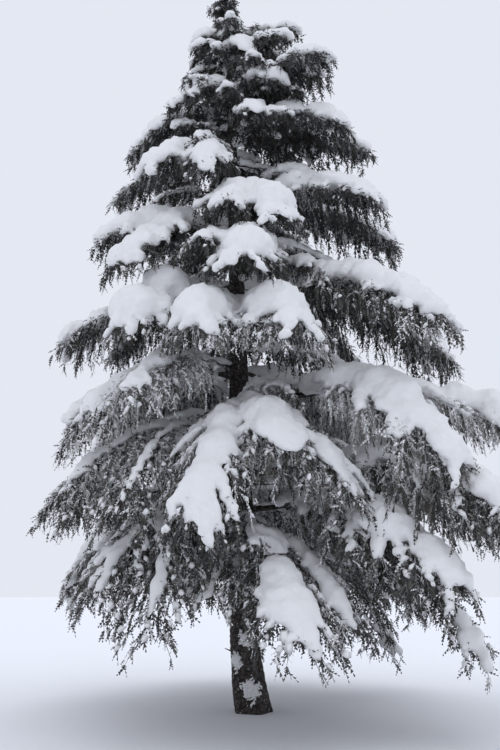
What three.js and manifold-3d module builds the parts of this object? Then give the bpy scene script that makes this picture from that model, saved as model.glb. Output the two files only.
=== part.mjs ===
// A Norway spruce under heavy snow, grown in the open: one whole tree with its trunk, main boughs,
// masses of hanging foliage and the pillows of snow that lie on them.
// Sizes are in millimetres and angles in degrees. +Z is up, the foot of the trunk is cut flat at z = 0,
// and azimuths turn from +X towards +Y, so that -90 is the side the tree is seen from.

import * as THREE from "three";
import { mergeVertices } from "three/addons/utils/BufferGeometryUtils.js";
import Module from "manifold-3d";

const wasm = await Module();
wasm.setup();

// Trunk
const HEIGHT = 11500; // ground to the tip of the leader
const STEM_RADIUS = 194; // above the flare, before the taper
const TAPER = 0.85;
const LEADER_RADIUS = 8;
const FLARE = 34; // what the roots add at the ground
const FLARE_HEIGHT = 450;
const ROOT_LOBES = 5;
const LOBE_DEPTH = 0.09; // of the radius
const LOBE_HEIGHT = 260;
const FOOT_SWEEP = 150; // the foot curves over this far
const SWEEP_HEIGHT = 700;
const LEAN = 344; // the top hangs this far further out
const TRUNK_SIDES = 14;
const TRUNK_STEPS = 15;
const STEP_POWER = 1.5; // its steps grow longer upwards

// Clearances between solids that touch
const GAP = 0.3;
const TRUNK_GAP = 0.45;
const FACE_GAP = 0.4;
const SNOW_GAP = 0.8; // snow over the ridge of its limb
const PILLOW_GAP = 1.2; // a pillow grows by this to cut its neighbour

// Boughs and stems
const BOUGH_SHARE = 0.3; // of the shortest limb's reach, where a bough ends in its fork
const FORK_SHARE = 0.16; // the same without a bough
const FORK_BASE = 100;
const FORK_RISE = 40;
const STEM_START = 0.84; // of the way to the fork, where a bough stops and the stem of its mass starts
const BOUGH_RADII = [1.75, 1.25, 1.08]; // from trunk to tip, in radii of its limbs
const STEM_RADII = [1.06, 1]; // of a stem on a bough
const ROOT_RADII = [1.2, 1]; // of a stem on the trunk
const BOUGH_SIDES = 7;
const STEM_SIDES = 5;

// Limbs
const LIMB_SIDES = 3;
const LIMB_LIFT = 0.08; // of the limb's length, its rise before it droops
const CREST = 0.36; // of the limb's length, where it has risen
const FALL = 0.78; // of the limb's length, where it falls most
const FALL_HEIGHT = 0.55; // of the drop, still left there
const LIMB_SWELL = 0.0075; // radius gained for each millimetre of reach
const LIMB_BASE = 9;
const TIP_RADIUS = 5;
const LIMB_STEPS = 3;
const LONG_REACH = 3100; // limbs longer than this take one more step

// Sprays of needles: toothed blades whose upper edge is a side twig and whose teeth hang from it
const SPRAY_PLACES = [0.84, 0.58, 0.34]; // along the limb, left and right in turn
const SPRAY_LENGTH = 0.4; // of the reach
const SPRAY_TURN = 55;
const SPRAY_DROP = 0.5; // fall for each unit of length
const SPRAY_HANG = 0.22; // of the reach
const SPRAY_SIZES = [0.7, 1, 1]; // of that hang, in the same places
const SPRAY_BASE = 220;
const SPRAY_TEETH = 2;
const REACH_FOR_SPRAYS = [500, 1200, 2300]; // limbs longer than these have one, two or three
const LOWEST = 60; // needles stay this far above the ground
const VALLEY = 0.62; // of a tooth's length, where two teeth part
const TOOTH_LEAN = 0.3; // of a tooth's width
const BLADE_SHARE = 80; // a blade is its length over this thick
const BLADE_LEAST = 13;
const SPRAY_PLAY = [0.85, 1.1]; // chance changes of a spray's length
const TOOTH_PLAY = [0.8, 1.15]; // and of a tooth's
const SHORTER = [1, 0.75, 0.55]; // a spray in the way of a neighbour is tried again at these sizes

// Snow
const SNOW_WIDTH = 0.1; // half width for each millimetre of reach
const SNOW_BASE = 100;
const SNOW_THICKNESS = 0.58; // of the half width
const SNOW_SAG = 0.3; // of the half width, how far its edges hang
const SHOULDER_WIDTH = 0.8; // of the half width
const SHOULDER_HEIGHT = 0.62; // of the height
const STEEP_SHARE = 0.4; // the least thickness on a steep limb
const END_FULLNESS = 0.2; // of its full size, at its ends
const MORE_FULLNESS = 0.85;
const SWELL_FROM = 0.04; // in half turns of a sine, which the pillow swells and sinks by
const SWELL_OVER = 0.9;
const SNOW_START = 0.06;
const SNOW_END = 0.93;
const SNOW_PLAY = 0.16; // chance change of its sizes
const SNOW_APART = 29; // limbs closer than this share one pillow

// Each mass: its name, the height of its stem on the trunk, whether a bough carries it, and its limbs as
// [azimuth, reach from the trunk's axis, height of the tip]
const FRONT_MASSES = [
  ["peak_front", 8950, false, [[-136, 1250, 8250], [-52, 1300, 8650], [-42, 1900, 8950]]],
  ["peak_left", 8700, false, [[162, 1750, 8400], [-170, 1300, 8300]]],
  ["upper_right", 8350, false, [[-76, 1500, 7800], [-32, 2000, 7850], [2, 2150, 8150]]],
  ["upper_left", 7650, false, [[-101, 1800, 6650], [-127, 1900, 6850], [172, 1850, 7350]]],
  ["high_front", 6700, false, [[-91, 2000, 6050], [-73, 2200, 5800]]],
  ["high_right", 7050, false, [[-35, 2400, 6500], [4, 2500, 6500]]],
  ["high_left", 6450, false, [[-148, 2150, 6000], [-131, 2250, 5350]]],
  ["mid_front", 5850, false, [[-101, 2150, 5550], [-86, 2450, 5100]]],
  ["mid_right", 5500, false, [[-43, 3300, 4450], [3, 3200, 4600]]],
  ["mid_left", 5450, false, [[-122, 2450, 4400], [171, 2650, 5000]]],
  ["belly_front", 4850, false, [[-100, 2600, 4250], [-75, 2700, 4250]]],
  ["waist_left", 4350, false, [[-119, 2600, 3550], [-136, 2700, 3150], [-165, 2300, 3700]]],
  ["waist_right", 4000, true, [[-46, 3450, 2700], [-2, 3900, 3650]]],
  ["skirt_front", 3620, true, [[-99, 2850, 2000], [-78, 2500, 2900], [-61, 2600, 2350]]],
  ["skirt_left", 3450, true, [[-136, 2800, 2400], [-117, 2700, 2250], [-165, 2350, 2300]]],
  ["skirt_right", 3000, true, [[-41, 3850, 2200], [-5, 3700, 2100]]],
  ["foot_left", 2550, true, [[-126, 2600, 1300], [-110, 2650, 950], [-157, 2150, 1500]]],
  ["foot_right", 2500, false, [[-49, 3400, 1500], [-33, 3200, 750], [31, 2500, 450]]],
  ["foot_front", 2050, true, [[-99, 2000, 1380], [-78, 2900, 950], [-62, 2500, 1050]]],
];

// The far side of the crown, by rule: tiers of even fans, each with its root height, fans and limbs in a fan
const REAR_TIERS = [
  ["peak_rear", 9150, 1, 3],
  ["upper_rear", 8250, 1, 3],
  ["high_rear", 7150, 1, 4],
  ["mid_rear", 5950, 1, 5],
  ["waist_rear", 4500, 2, 3],
  ["foot_rear", 2900, 2, 3],
];
const REAR_SNOW_BELOW = 8000; // of the far side only the tiers rooted lower carry pillows of their own
const REAR_FROM = 22; // azimuths between which they fan out
const REAR_TO = 172;
const REAR_REACH = 3600;
const REAR_POWER = 0.55;
const REAR_SKEW = 0.12; // the crown reaches further on its +X side
const REAR_DROP = 0.36; // of the reach, at the top
const REAR_MORE_DROP = 0.28; // gained towards the ground
const REAR_PLAY = 0.14; // every other limb is that much shorter, and its tip higher

// The top: whorls of short limbs round the leader, on a core of needles with a bore for it
const TIP_WHORLS = [
  [9900, [[-125, 850, 9550], [-67, 950, 9300], [-38, 1200, 9700], [25, 1050, 9500], [110, 1000, 9400]]],
  [10250, [[-150, 600, 10000], [-22, 1250, 10050], [70, 700, 9950], [165, 620, 9900]]],
  [10850, [[-60, 260, 10950], [60, 280, 10880], [180, 260, 10940]]],
];
const CORE_HEIGHTS = [9780, 10330, 11160];
const CORE_WALLS = [26, 40, 14];
const CORE_SIDES = 7;

// Seeds of the chance chains
const TIP_SEED = 99;
const SNOW_SEED = 500;

const UP = new THREE.Vector3(0, 0, 1);
const BARK = new THREE.MeshStandardMaterial({ color: 0x57504a, roughness: 0.95, metalness: 0 });
const NEEDLES = new THREE.MeshStandardMaterial({ color: 0x3b4440, roughness: 0.9, metalness: 0 });
const SNOW = new THREE.MeshStandardMaterial({ color: 0xe6e9ef, roughness: 0.7, metalness: 0 });

function radians(degrees) {
  return (degrees * Math.PI) / 180;
}

// The level way at an azimuth
function level(azimuth) {
  return new THREE.Vector3(Math.cos(radians(azimuth)), Math.sin(radians(azimuth)), 0);
}

// A seeded chain of chance values between low and high
function chance(seed) {
  let state = 1 + seed * 7919;
  return (low, high) => {
    state = (state * 48271) % 2147483647;
    return low + ((high - low) * state) / 2147483647;
  };
}

function trunkAxis(z) {
  return -(FOOT_SWEEP * (1 - Math.exp(-z / SWEEP_HEIGHT)) + LEAN * (z / HEIGHT) ** 2);
}

function trunkRadius(z) {
  const taper = STEM_RADIUS * (1 - z / HEIGHT) ** TAPER;
  return taper + FLARE * Math.exp(-((z / FLARE_HEIGHT) ** 2)) + LEADER_RADIUS;
}

function onTrunk(z) {
  return new THREE.Vector3(trunkAxis(z), 0, z);
}

// A closed skin as a solid that can be joined and cut
function solidOf(geometry) {
  geometry.deleteAttribute("normal");
  geometry.deleteAttribute("uv");
  const merged = mergeVertices(geometry, 1e-4);
  const vertProperties = new Float32Array(merged.getAttribute("position").array);
  const triVerts = new Uint32Array(merged.getIndex().array);
  return new wasm.Manifold(new wasm.Mesh({ numProp: 3, vertProperties, triVerts }));
}

function join(solids) {
  return solids.reduce((sum, solid) => sum.add(solid));
}

// Cutting can leave loose scraps, which are dropped
function largestBody(solid) {
  return solid.decompose().reduce((best, body) => (body.volume() > best.volume() ? body : best));
}

// A closed skin over rings of equally many points, each ring clockwise as seen from the one before it
function loft(rings) {
  const count = rings[0].length;
  const positions = rings.flat().flatMap((point) => [point.x, point.y, point.z]);
  const faces = [];
  for (let ring = 0; ring + 1 < rings.length; ring++) {
    for (let k = 0; k < count; k++) {
      const a = ring * count + k;
      const b = ring * count + ((k + 1) % count);
      faces.push(a, b, b + count, a, b + count, a + count);
    }
  }
  const last = (rings.length - 1) * count;
  for (let k = 1; k + 1 < count; k++) {
    faces.push(0, k + 1, k);
    faces.push(last, last + k, last + k + 1);
  }
  const geometry = new THREE.BufferGeometry();
  geometry.setAttribute("position", new THREE.BufferAttribute(new Float32Array(positions), 3));
  geometry.setIndex(faces);
  return solidOf(geometry);
}

// A level ring round the trunk's axis whose radius may change with the angle
function ringAt(z, sides, radiusAt) {
  const ring = [];
  for (let k = 0; k < sides; k++) {
    const turn = (360 * k) / sides;
    ring.push(onTrunk(z).addScaledVector(level(turn), radiusAt(turn)));
  }
  return ring;
}

// At each point of a path: its direction, the level way to its right, and the way square to both
function frames(points) {
  return points.map((point, i) => {
    const way = new THREE.Vector3();
    way.subVectors(points[Math.min(i + 1, points.length - 1)], points[Math.max(i - 1, 0)]).normalize();
    const side = new THREE.Vector3().crossVectors(way, UP).normalize();
    const rise = new THREE.Vector3().crossVectors(side, way);
    return { point, way, side, rise };
  });
}

// A tapered branch whose first corner is its ridge
function tube(points, radii, sides) {
  const rings = frames(points).map(({ point, side, rise }, i) => {
    const ring = [];
    for (let k = 0; k < sides; k++) {
      const turn = radians((360 * k) / sides);
      const corner = point.clone();
      corner.addScaledVector(rise, radii[i] * Math.cos(turn));
      corner.addScaledVector(side, radii[i] * Math.sin(turn));
      ring.push(corner);
    }
    return ring;
  });
  return loft(rings);
}

// The trunk from its flat foot to the tip of the leader, or the same grown by a clearance
function trunkSolid(clearance) {
  const rings = [];
  for (let step = 0; step <= TRUNK_STEPS; step++) {
    const z = HEIGHT * (step / TRUNK_STEPS) ** STEP_POWER;
    const lobes = LOBE_DEPTH * Math.exp(-z / LOBE_HEIGHT);
    const lobed = (turn) => trunkRadius(z) * (1 + lobes * Math.cos(radians(ROOT_LOBES * turn)));
    rings.push(ringAt(z, TRUNK_SIDES, (turn) => lobed(turn) + clearance));
  }
  return loft(rings);
}

// The far side's masses, worked out tier by tier in the form of the front ones
function rearMasses() {
  const rows = [];
  for (const [tier, root, fans, count] of REAR_TIERS) {
    const low = 1 - root / HEIGHT;
    const width = (REAR_TO - REAR_FROM) / fans;
    for (let fan = 0; fan < fans; fan++) {
      const limbs = [];
      for (let k = 0; k < count; k++) {
        const azimuth = REAR_FROM + width * (fan + (k + 0.5) / count);
        const play = k % 2 ? REAR_PLAY : 0;
        const skew = 1 + REAR_SKEW * Math.cos(radians(azimuth));
        const reach = REAR_REACH * low ** REAR_POWER * skew * (1 - play);
        const tip = root - reach * (REAR_DROP + REAR_MORE_DROP * low) * (1 - 2 * play);
        limbs.push([azimuth, reach, tip]);
      }
      const name = fans === 1 ? tier : `${tier}_${fan ? "left" : "right"}`;
      rows.push([name, root, false, limbs]);
    }
  }
  return rows;
}

// Where the limbs of a mass part: out from the trunk along their mean azimuth
function forkOf(root, bough, rows) {
  const way = new THREE.Vector3();
  rows.forEach(([azimuth]) => way.add(level(azimuth)));
  const shortest = Math.min(...rows.map(([, reach]) => reach));
  const far = bough ? BOUGH_SHARE * shortest : FORK_SHARE * shortest + FORK_BASE;
  return onTrunk(root).addScaledVector(way.normalize(), far).addScaledVector(UP, FORK_RISE);
}

// One limb: it rises a little from where it starts, then droops to its tip, all in one upright plane
function limbOf(start, root, [azimuth, reach, tipHeight]) {
  const tip = onTrunk(root).addScaledVector(level(azimuth), reach).setZ(tipHeight);
  const lift = LIMB_LIFT * Math.hypot(tip.x - start.x, tip.y - start.y);
  const fallHeight = tip.z + FALL_HEIGHT * (start.z - tip.z) + lift / 2;
  const rising = start.clone().lerp(tip, CREST).setZ(start.z + lift);
  const falling = start.clone().lerp(tip, FALL).setZ(fallHeight);
  const steps = reach > LONG_REACH ? LIMB_STEPS + 1 : LIMB_STEPS;
  const points = new THREE.CubicBezierCurve3(start, rising, falling, tip).getPoints(steps);
  const thick = LIMB_BASE + LIMB_SWELL * reach;
  const radii = points.map((_, i) => thick + (TIP_RADIUS - thick) * (i / steps));
  return { points, radii, azimuth, reach };
}

// A three-sided limb, grown on each face by a clearance, which moves its corners twice as far
function limbSolid(limb, clearance) {
  return tube(limb.points, limb.radii.map((radius) => radius + 2 * clearance), LIMB_SIDES);
}

// The point and the frame a share of the way along a limb's straight steps
function along(limb, share) {
  const steps = limb.points.length - 1;
  const i = Math.min(Math.floor(share * steps), steps - 1);
  const point = limb.points[i].clone().lerp(limb.points[i + 1], share * steps - i);
  return { ...frames([limb.points[i], limb.points[i + 1]])[0], point };
}

// A flat upright plate of hanging needles: its upper edge runs from one point to the other, and teeth
// hang from it
function curtain(from, to, hang, draw) {
  const way = to.clone().sub(from).setZ(0);
  const width = way.length();
  way.normalize();
  const slope = (to.z - from.z) / width;
  const shape = new THREE.Shape([new THREE.Vector2(0, 0), new THREE.Vector2(width, slope * width)]);
  const pitch = width / SPRAY_TEETH;
  for (let k = SPRAY_TEETH - 1; k >= 0; k--) {
    const tooth = pitch * (k + 0.5 + TOOTH_LEAN);
    const drop = hang * draw(...TOOTH_PLAY);
    shape.lineTo(tooth, Math.max(slope * tooth - drop, LOWEST - from.z));
    if (k > 0) {
      shape.lineTo(pitch * k, slope * pitch * k - VALLEY * drop);
    }
  }
  const thickness = Math.max(BLADE_LEAST, width / BLADE_SHARE);
  const plate = new THREE.ExtrudeGeometry(shape, { depth: thickness, bevelEnabled: false });
  const across = new THREE.Vector3().crossVectors(way, UP);
  plate.translate(0, 0, -thickness / 2);
  plate.applyMatrix4(new THREE.Matrix4().makeBasis(way, UP, across).setPosition(from));
  return solidOf(plate);
}

// How full a pillow is a share of the way along its limb
function fullness(share) {
  return END_FULLNESS + MORE_FULLNESS * Math.sin(Math.PI * (SWELL_FROM + SWELL_OVER * share));
}

// The pillow of snow along one limb: a low dome whose hollow underside rides on the limb's ridge
function pillowOn(limb, grown, draw) {
  const steps = limb.points.length - 1;
  const half = SNOW_BASE + SNOW_WIDTH * limb.reach;
  const stations = frames(limb.points).map((frame, i) => {
    return { ...frame, radius: limb.radii[i], share: i / steps };
  });
  const [foot, second] = stations;
  const into = SNOW_START * steps;
  const first = {
    point: foot.point.clone().lerp(second.point, into),
    side: foot.side.clone().lerp(second.side, into),
    rise: foot.rise.clone().lerp(second.rise, into),
    radius: foot.radius + (second.radius - foot.radius) * into,
    share: SNOW_START,
  };
  const last = { ...stations[steps], point: along(limb, SNOW_END).point, share: SNOW_END };
  const rings = [first, ...stations.slice(1, -1), last].map(({ point, side, rise, radius, share }) => {
    const size = half * fullness(share);
    const width = size * draw(1 - SNOW_PLAY, 1) + grown;
    const depth = SNOW_THICKNESS * size * draw(1 - SNOW_PLAY, 1) * Math.max(STEEP_SHARE, rise.z) + grown;
    const under = radius + SNOW_GAP - 2 * grown;
    const top = radius + depth;
    const edge = under - SNOW_SAG * width;
    const shoulder = [SHOULDER_WIDTH * width, SHOULDER_HEIGHT * top];
    const section = [[0, under], [-width, edge], [-shoulder[0], shoulder[1]],
      [0, top], shoulder, [width, edge]];
    return section.map(([right, up]) => point.clone().addScaledVector(side, right).addScaledVector(rise, up));
  });
  return loft(rings);
}

function boxesMeet(a, b) {
  return [0, 1, 2].every((k) => a.min[k] - 1 < b.max[k] && b.min[k] - 1 < a.max[k]);
}

// Everything placed so far: solids by node, with their boxes
const placed = [];

function place(node, solid) {
  placed.push({ node, solid, box: solid.boundingBox() });
}

// The first other node that a solid would touch
function neighbourOf(node, solid) {
  const box = solid.boundingBox();
  return placed.find((other) => other.node !== node && boxesMeet(box, other.box)
    && solid.minGap(other.solid, 1) < GAP);
}

const tree = new THREE.Group();
const wood = new THREE.Group();
const foliage = new THREE.Group();
const snow = new THREE.Group();
tree.add(wood, foliage, snow);

// Turns a finished solid into a named mesh that stands at its own root
function addMesh(group, name, solid, origin, material) {
  const mesh = solid.translate([-origin.x, -origin.y, -origin.z]).getMesh();
  const geometry = new THREE.BufferGeometry();
  geometry.setAttribute("position", new THREE.BufferAttribute(new Float32Array(mesh.vertProperties), 3));
  geometry.setIndex(new THREE.BufferAttribute(new Uint32Array(mesh.triVerts), 1));
  geometry.computeVertexNormals();
  const node = new THREE.Mesh(geometry, material);
  node.name = name;
  node.position.copy(origin);
  group.add(node);
}

const trunk = trunkSolid(0);
const trunkClear = trunkSolid(TRUNK_GAP);
addMesh(wood, "trunk", trunk, onTrunk(0), BARK);
place("trunk", trunk);

// A bough from the trunk to just short of the fork, and the stem of its mass on the same line
function boughAndStem(name, start, fork, thick) {
  const joint = start.clone().lerp(fork, STEM_START);
  const middle = start.clone().lerp(joint, 0.5);
  const gap = fork.clone().sub(start).normalize().multiplyScalar(FACE_GAP);
  const radii = BOUGH_RADII.map((share) => share * thick);
  const bough = tube([start, middle, joint], radii, BOUGH_SIDES).subtract(trunkClear);
  addMesh(wood, `bough_${name}`, bough, start, BARK);
  place(`bough_${name}`, bough);
  return tube([joint.add(gap), fork], STEM_RADII.map((share) => share * thick), STEM_SIDES);
}

// The stem and limbs of one mass, before its needles
function skeletonOf([name, root, bough, rows], index) {
  const start = onTrunk(root);
  const fork = forkOf(root, bough, rows);
  const limbs = rows.map((row) => limbOf(fork, root, row));
  const thick = Math.max(...limbs.map((limb) => limb.radii[0]));
  const stem = bough
    ? boughAndStem(name, start, fork, thick)
    : tube([start, fork], ROOT_RADII.map((share) => share * thick), STEM_SIDES);
  const solid = largestBody(join([stem, ...limbs.map((limb) => limbSolid(limb, 0))]).subtract(trunkClear));
  const snowy = index < FRONT_MASSES.length || root < REAR_SNOW_BELOW;
  return { name, snowy, limbs, solid, origin: fork, draw: chance(index + 1) };
}

// The crown's top keeps a bore for the leader, and its limbs start in the wall round that bore
function crownTip() {
  const core = loft(CORE_HEIGHTS.map((z, i) => ringAt(z, CORE_SIDES, () => trunkRadius(z) + CORE_WALLS[i])));
  const limbs = TIP_WHORLS.flatMap(([height, rows]) => rows.map((row) => {
    const start = onTrunk(height).addScaledVector(level(row[0]), trunkRadius(height));
    return limbOf(start, height, row);
  }));
  const solid = largestBody(join([core, ...limbs.map((limb) => limbSolid(limb, 0))]).subtract(trunkClear));
  const origin = onTrunk(CORE_HEIGHTS[0]);
  return { name: "crown_tip", snowy: false, limbs, solid, origin, draw: chance(TIP_SEED) };
}

// The limbs of a mass that carry a pillow of their own
function snowyLimbs(mass) {
  const chosen = [];
  for (const limb of mass.limbs) {
    if (chosen.every((other) => Math.abs(other.azimuth - limb.azimuth) > SNOW_APART)) {
      chosen.push(limb);
    }
  }
  return chosen;
}

// The pillows of a mass run together, and are cut clear of all limbs and of the snow placed before
function snowCap(mass, obstacles) {
  const pillows = snowyLimbs(mass).map((limb, i) => pillowOn(limb, 0, chance(SNOW_SEED + i)));
  let cap = join(pillows).subtract(trunkClear);
  for (const other of obstacles) {
    if (boxesMeet(cap.boundingBox(), other.boundingBox())) {
      cap = cap.subtract(other);
    }
  }
  return largestBody(cap);
}

// A spray leaves the limb to the left or right and droops. It is left out where it would touch a neighbour.
function growSpray(mass, limb, share, drop, turn) {
  const { point, way, side, rise } = along(limb, share);
  const heading = way.clone().multiplyScalar(Math.cos(radians(turn)));
  heading.addScaledVector(side, Math.sin(radians(turn))).addScaledVector(rise, -SPRAY_DROP);
  const length = SPRAY_LENGTH * limb.reach * mass.draw(...SPRAY_PLAY);
  const hang = drop * (SPRAY_BASE + SPRAY_HANG * limb.reach);
  for (const size of SHORTER) {
    const end = point.clone().addScaledVector(heading, length * size);
    const spray = curtain(point, end, hang * size, mass.draw);
    if (!neighbourOf(mass.name, spray)) {
      place(mass.name, spray);
      return [spray];
    }
  }
  return [];
}

function growSprays(mass) {
  return mass.limbs.flatMap((limb, i) => {
    const count = REACH_FOR_SPRAYS.filter((reach) => limb.reach > reach).length;
    return SPRAY_PLACES.slice(0, count).flatMap((share, k) => {
      const turn = (i + k) % 2 ? SPRAY_TURN : -SPRAY_TURN;
      return growSpray(mass, limb, share, SPRAY_SIZES[k], turn);
    });
  });
}

// Boughs, stems and limbs come first, so that snow and needles can keep clear of them all
const masses = [...[...FRONT_MASSES, ...rearMasses()].map(skeletonOf), crownTip()];
for (const mass of masses) {
  const other = neighbourOf(mass.name, mass.solid);
  if (other) {
    throw new Error(`a limb of ${mass.name} touches ${other.node}`);
  }
  place(mass.name, mass.solid);
}

const obstacles = masses.flatMap((mass) => mass.limbs.map((limb) => limbSolid(limb, GAP)));
for (const mass of masses.filter(({ snowy }) => snowy)) {
  const cap = snowCap(mass, obstacles);
  obstacles.push(...snowyLimbs(mass).map((limb, i) => pillowOn(limb, PILLOW_GAP, chance(SNOW_SEED + i))));
  addMesh(snow, `snow_${mass.name}`, cap, mass.origin, SNOW);
  place(`snow_${mass.name}`, cap);
}

for (const mass of masses) {
  addMesh(foliage, mass.name, largestBody(join([mass.solid, ...growSprays(mass)])), mass.origin, NEEDLES);
}

export default tree;
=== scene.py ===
"""An open-grown spruce under heavy snow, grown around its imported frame.

The trunk, boughs and limbs follow the same named sizes as the solids. Side twigs, hanging branchlets
and needled shoots then grow on from the limbs by the same rule, within the same reach, and snow lies
on everything that is flat enough to hold it. Lengths are in metres and angles in degrees.
"""

import math
from collections import namedtuple
from functools import lru_cache

import bmesh
import bpy
import numpy as np
from bpy.props import FloatProperty, FloatVectorProperty, IntProperty, PointerProperty
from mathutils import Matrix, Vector, noise


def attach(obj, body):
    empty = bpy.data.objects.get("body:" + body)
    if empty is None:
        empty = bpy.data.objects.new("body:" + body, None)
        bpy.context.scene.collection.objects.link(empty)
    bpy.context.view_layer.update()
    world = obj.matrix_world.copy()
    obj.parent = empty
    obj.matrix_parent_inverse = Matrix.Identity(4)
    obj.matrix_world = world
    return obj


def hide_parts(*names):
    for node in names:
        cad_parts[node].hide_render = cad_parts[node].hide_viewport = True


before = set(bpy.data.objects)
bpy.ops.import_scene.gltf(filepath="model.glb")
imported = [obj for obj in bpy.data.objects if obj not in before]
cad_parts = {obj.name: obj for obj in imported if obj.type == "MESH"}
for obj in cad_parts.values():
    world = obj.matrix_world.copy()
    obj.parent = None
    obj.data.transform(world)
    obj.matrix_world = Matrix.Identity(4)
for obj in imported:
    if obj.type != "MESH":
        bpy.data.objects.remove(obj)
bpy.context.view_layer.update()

bl_info = {
    "name": "Snow-laden Spruce",
    "version": (1, 0, 0),
    "blender": (4, 5, 0),
    "location": "3D View > Sidebar > Spruce",
    "description": "Grows an open-grown spruce under heavy snow",
    "category": "Add Mesh",
}

# A pair in round brackets that has no comment is the least and the most of a chance draw.
MM = 0.001
UP = np.array([0.0, 0.0, 1.0])
LEADER = -1  # stands for the leader where limbs have their numbers

# Where the random draws of each use start
SEEDS = {
    "knots": 5,
    "inner limbs": 40,
    "clump shapes": 61,
    "leader": 77,
    "patches": 83,
    "twigs": 100,
    "branchlets": 300,
    "shoots": 700,
    "blades": 900,
    "fringe": 1100,
    "twig cover": 1300,
    "twig snow": 1400,
    "clumps": 1500,
    "spines": 1700,
    "fingers": 1900,
}

# Trunk
HEIGHT = 11.5
STEM_RADIUS = 0.194  # at the ground, without the flare
TAPER = 0.85  # under 1 the stem stays thick for longer
LEADER_RADIUS = 0.008
FLARE = 0.034  # more radius at the ground
FLARE_HEIGHT = 0.45
ROOT_LOBES = 5
LOBE_DEPTH = 0.09  # of the radius
LOBE_HEIGHT = 0.26
FOOT_SWEEP = 0.15  # how far the foot curves to the -X side
SWEEP_HEIGHT = 0.7
LEAN = 0.344  # of the top, to the same side
BARK_SIDES = 84
LOW_STEP = 0.03  # between rings where the trunk is seen
HIGH_STEP = 0.14
LOW_TOP = 3.0
THICK_STEM = 0.12  # where the radius is less than this, the bark's relief fades
KNOTS = 26  # stubs of lost twigs
KNOT_HEIGHTS = (0.7, 4.6)
KNOT_DEPTH = 0.02  # how deep they start in the trunk
KNOT_REACHES = (0.04, 0.2)
KNOT_SLOPES = (-0.3, 0.25)
KNOT_SAG = 0.006
KNOT_RADII = [0.013, 0.009, 0.004]
KNOT_SIDES = 6

# Relief of the bark, which boughs and limbs have in a smaller size
SCALE_SHAPE = 1.7  # length of a scale for each unit of its width
CRACK_SLOPE = 2.2  # how steeply the scales fall to their cracks
SWELL_RATES = (5, 5, 3)  # of the slow swells under them, for each metre along x, y and z
SWELL_SHARE = 0.6  # how far the swells stand out, for each unit of the scales' relief
BOUGH_BARK = (0.6, 0.5)  # size and relief of the scales on boughs, as shares of the trunk's
LIMB_BARK = (0.5, 0.3)  # and on limbs

# Boughs and stems
BOUGH_SHARE = 0.3  # of the shortest limb, from the trunk's axis to the fork
FORK_SHARE = 0.16  # the same where no bough carries the mass
FORK_BASE = 0.1  # and this much more
FORK_RISE = 0.04
BOUGH_SWELL = 1.75  # how much thicker a bough is at the trunk
STEM_SWELL = 1.2  # and a stem
SWELL_POWER = 1.5
BOUGH_STATIONS = 30
BOUGH_SIDES = 18

# Limbs
LIMB_LIFT = 0.08  # how high a limb's first bend is over its start, for each unit of its level length
CREST = 0.36  # where that bend lies, as a share of the way to the tip
FALL = 0.78  # and where the second one lies
FALL_HEIGHT = 0.55  # share of the whole fall that is left there
LIMB_SWELL = 0.0075  # more radius at the start for each unit of reach
LIMB_BASE = 0.009
TIP_RADIUS = 0.005
LIMB_STATIONS = 25
LIMB_SIDES = 6
WOOD_STEP = 2  # the bark has a ring at every so many stations

# Side twigs, which the upper edges of the solid sprays stand for
TWIG_SPACING = 0.105  # along a limb, left and right in turn
TWIG_HEIGHTS = [7.0, 8.8]
TWIG_FIRST = [0.15, 0.04]  # share of a limb that is bare at the trunk, at those heights
TWIG_LAST = 0.93  # of the limb
TWIG_PLACES = (0.2, 0.8)  # where a twig stands within its own stretch of the limb
TWIG_TURN = 55.0  # away from the limb
TWIG_CLOSING = (1.05, 0.35)  # share of that turn at the trunk, and how much less it is at the limb's tip
TWIG_TURN_PLAY = 9
TWIG_LIFTS = (-0.12, 0.12)
TWIG_LENGTH = 0.3  # of the reach
TWIG_LONGEST = 0.85
TWIG_PLAY = (0.75, 1.1)
TWIG_DROOP = 0.5  # fall for each unit of length
TWIG_BEND = (0.2, 0.8)  # the share of that fall that is straight, and the share that grows along the twig
TWIG_STATIONS = 3
TWIG_SIDES = 3
TWIG_RADIUS = 0.0045
TWIG_SWELL = 0.006  # more radius for each unit of length
TWIG_TAPER = (1.1, 0.75)  # share of the radius at the foot, and how much less it is at the tip
BARE_EVERY = 9  # every so many branchlets show their thin wood
BARE_END = 0.95
BARE_RADIUS = 0.0035
BARE_TAPER = (1.1, 0.7)  # the same
FAN_SHARES = [0.0, 0.15, 0.4, 0.7, 1.0]  # of the limb
FAN_SIZES = [0.35, 0.7, 1.0, 0.8, 0.33]  # a side twig's length there

# Branchlets, which the teeth of the solid sprays stand for. Each is a curve with one bend, and heads out
# from its side twig before it hangs.
BRANCHLET_SPACING = 0.097
BRANCHLET_PLACES = (0.3, 1.0)  # where one stands within its own stretch of the twig
BRANCHLET_LAST = 0.97  # of the limb
OUT_AHEAD = (0.3, 0.9)  # how much it heads along the wood that carries it
OUT_ASIDE = (0.3, 1.0)  # and away from that wood
HANG_BASE = 0.28
HANG = 0.17  # of the reach
HANG_PLAY = (0.45, 0.78)  # from side twig to side twig
HANG_FLUTTER = (0.82, 1.08)  # and from branchlet to branchlet
HANG_SHARES = [0.0, 0.5, 0.8, 1.0]  # of the limb
HANG_SIZES = [0.9, 1.0, 0.65, 0.25]  # how far branchlets hang there
HANG_EDGE = 0.35  # how much less they hang at the end of a side twig
HANG_HEIGHTS = [0.6, 1.5, 2.4, 4.0, 10.4, 11.4]  # from near the ground to the pointed top
HANG_LENGTHS = [0.5, 0.95, 1.22, 1.0, 1.0, 0.3]  # how long branchlets are there
STEEP_HEIGHTS = [1.6, 3.3, 6.5, 10.0]
STEEPNESS = [0.76, 1.0, 1.0, 0.75]  # how straight down they hang there
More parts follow.
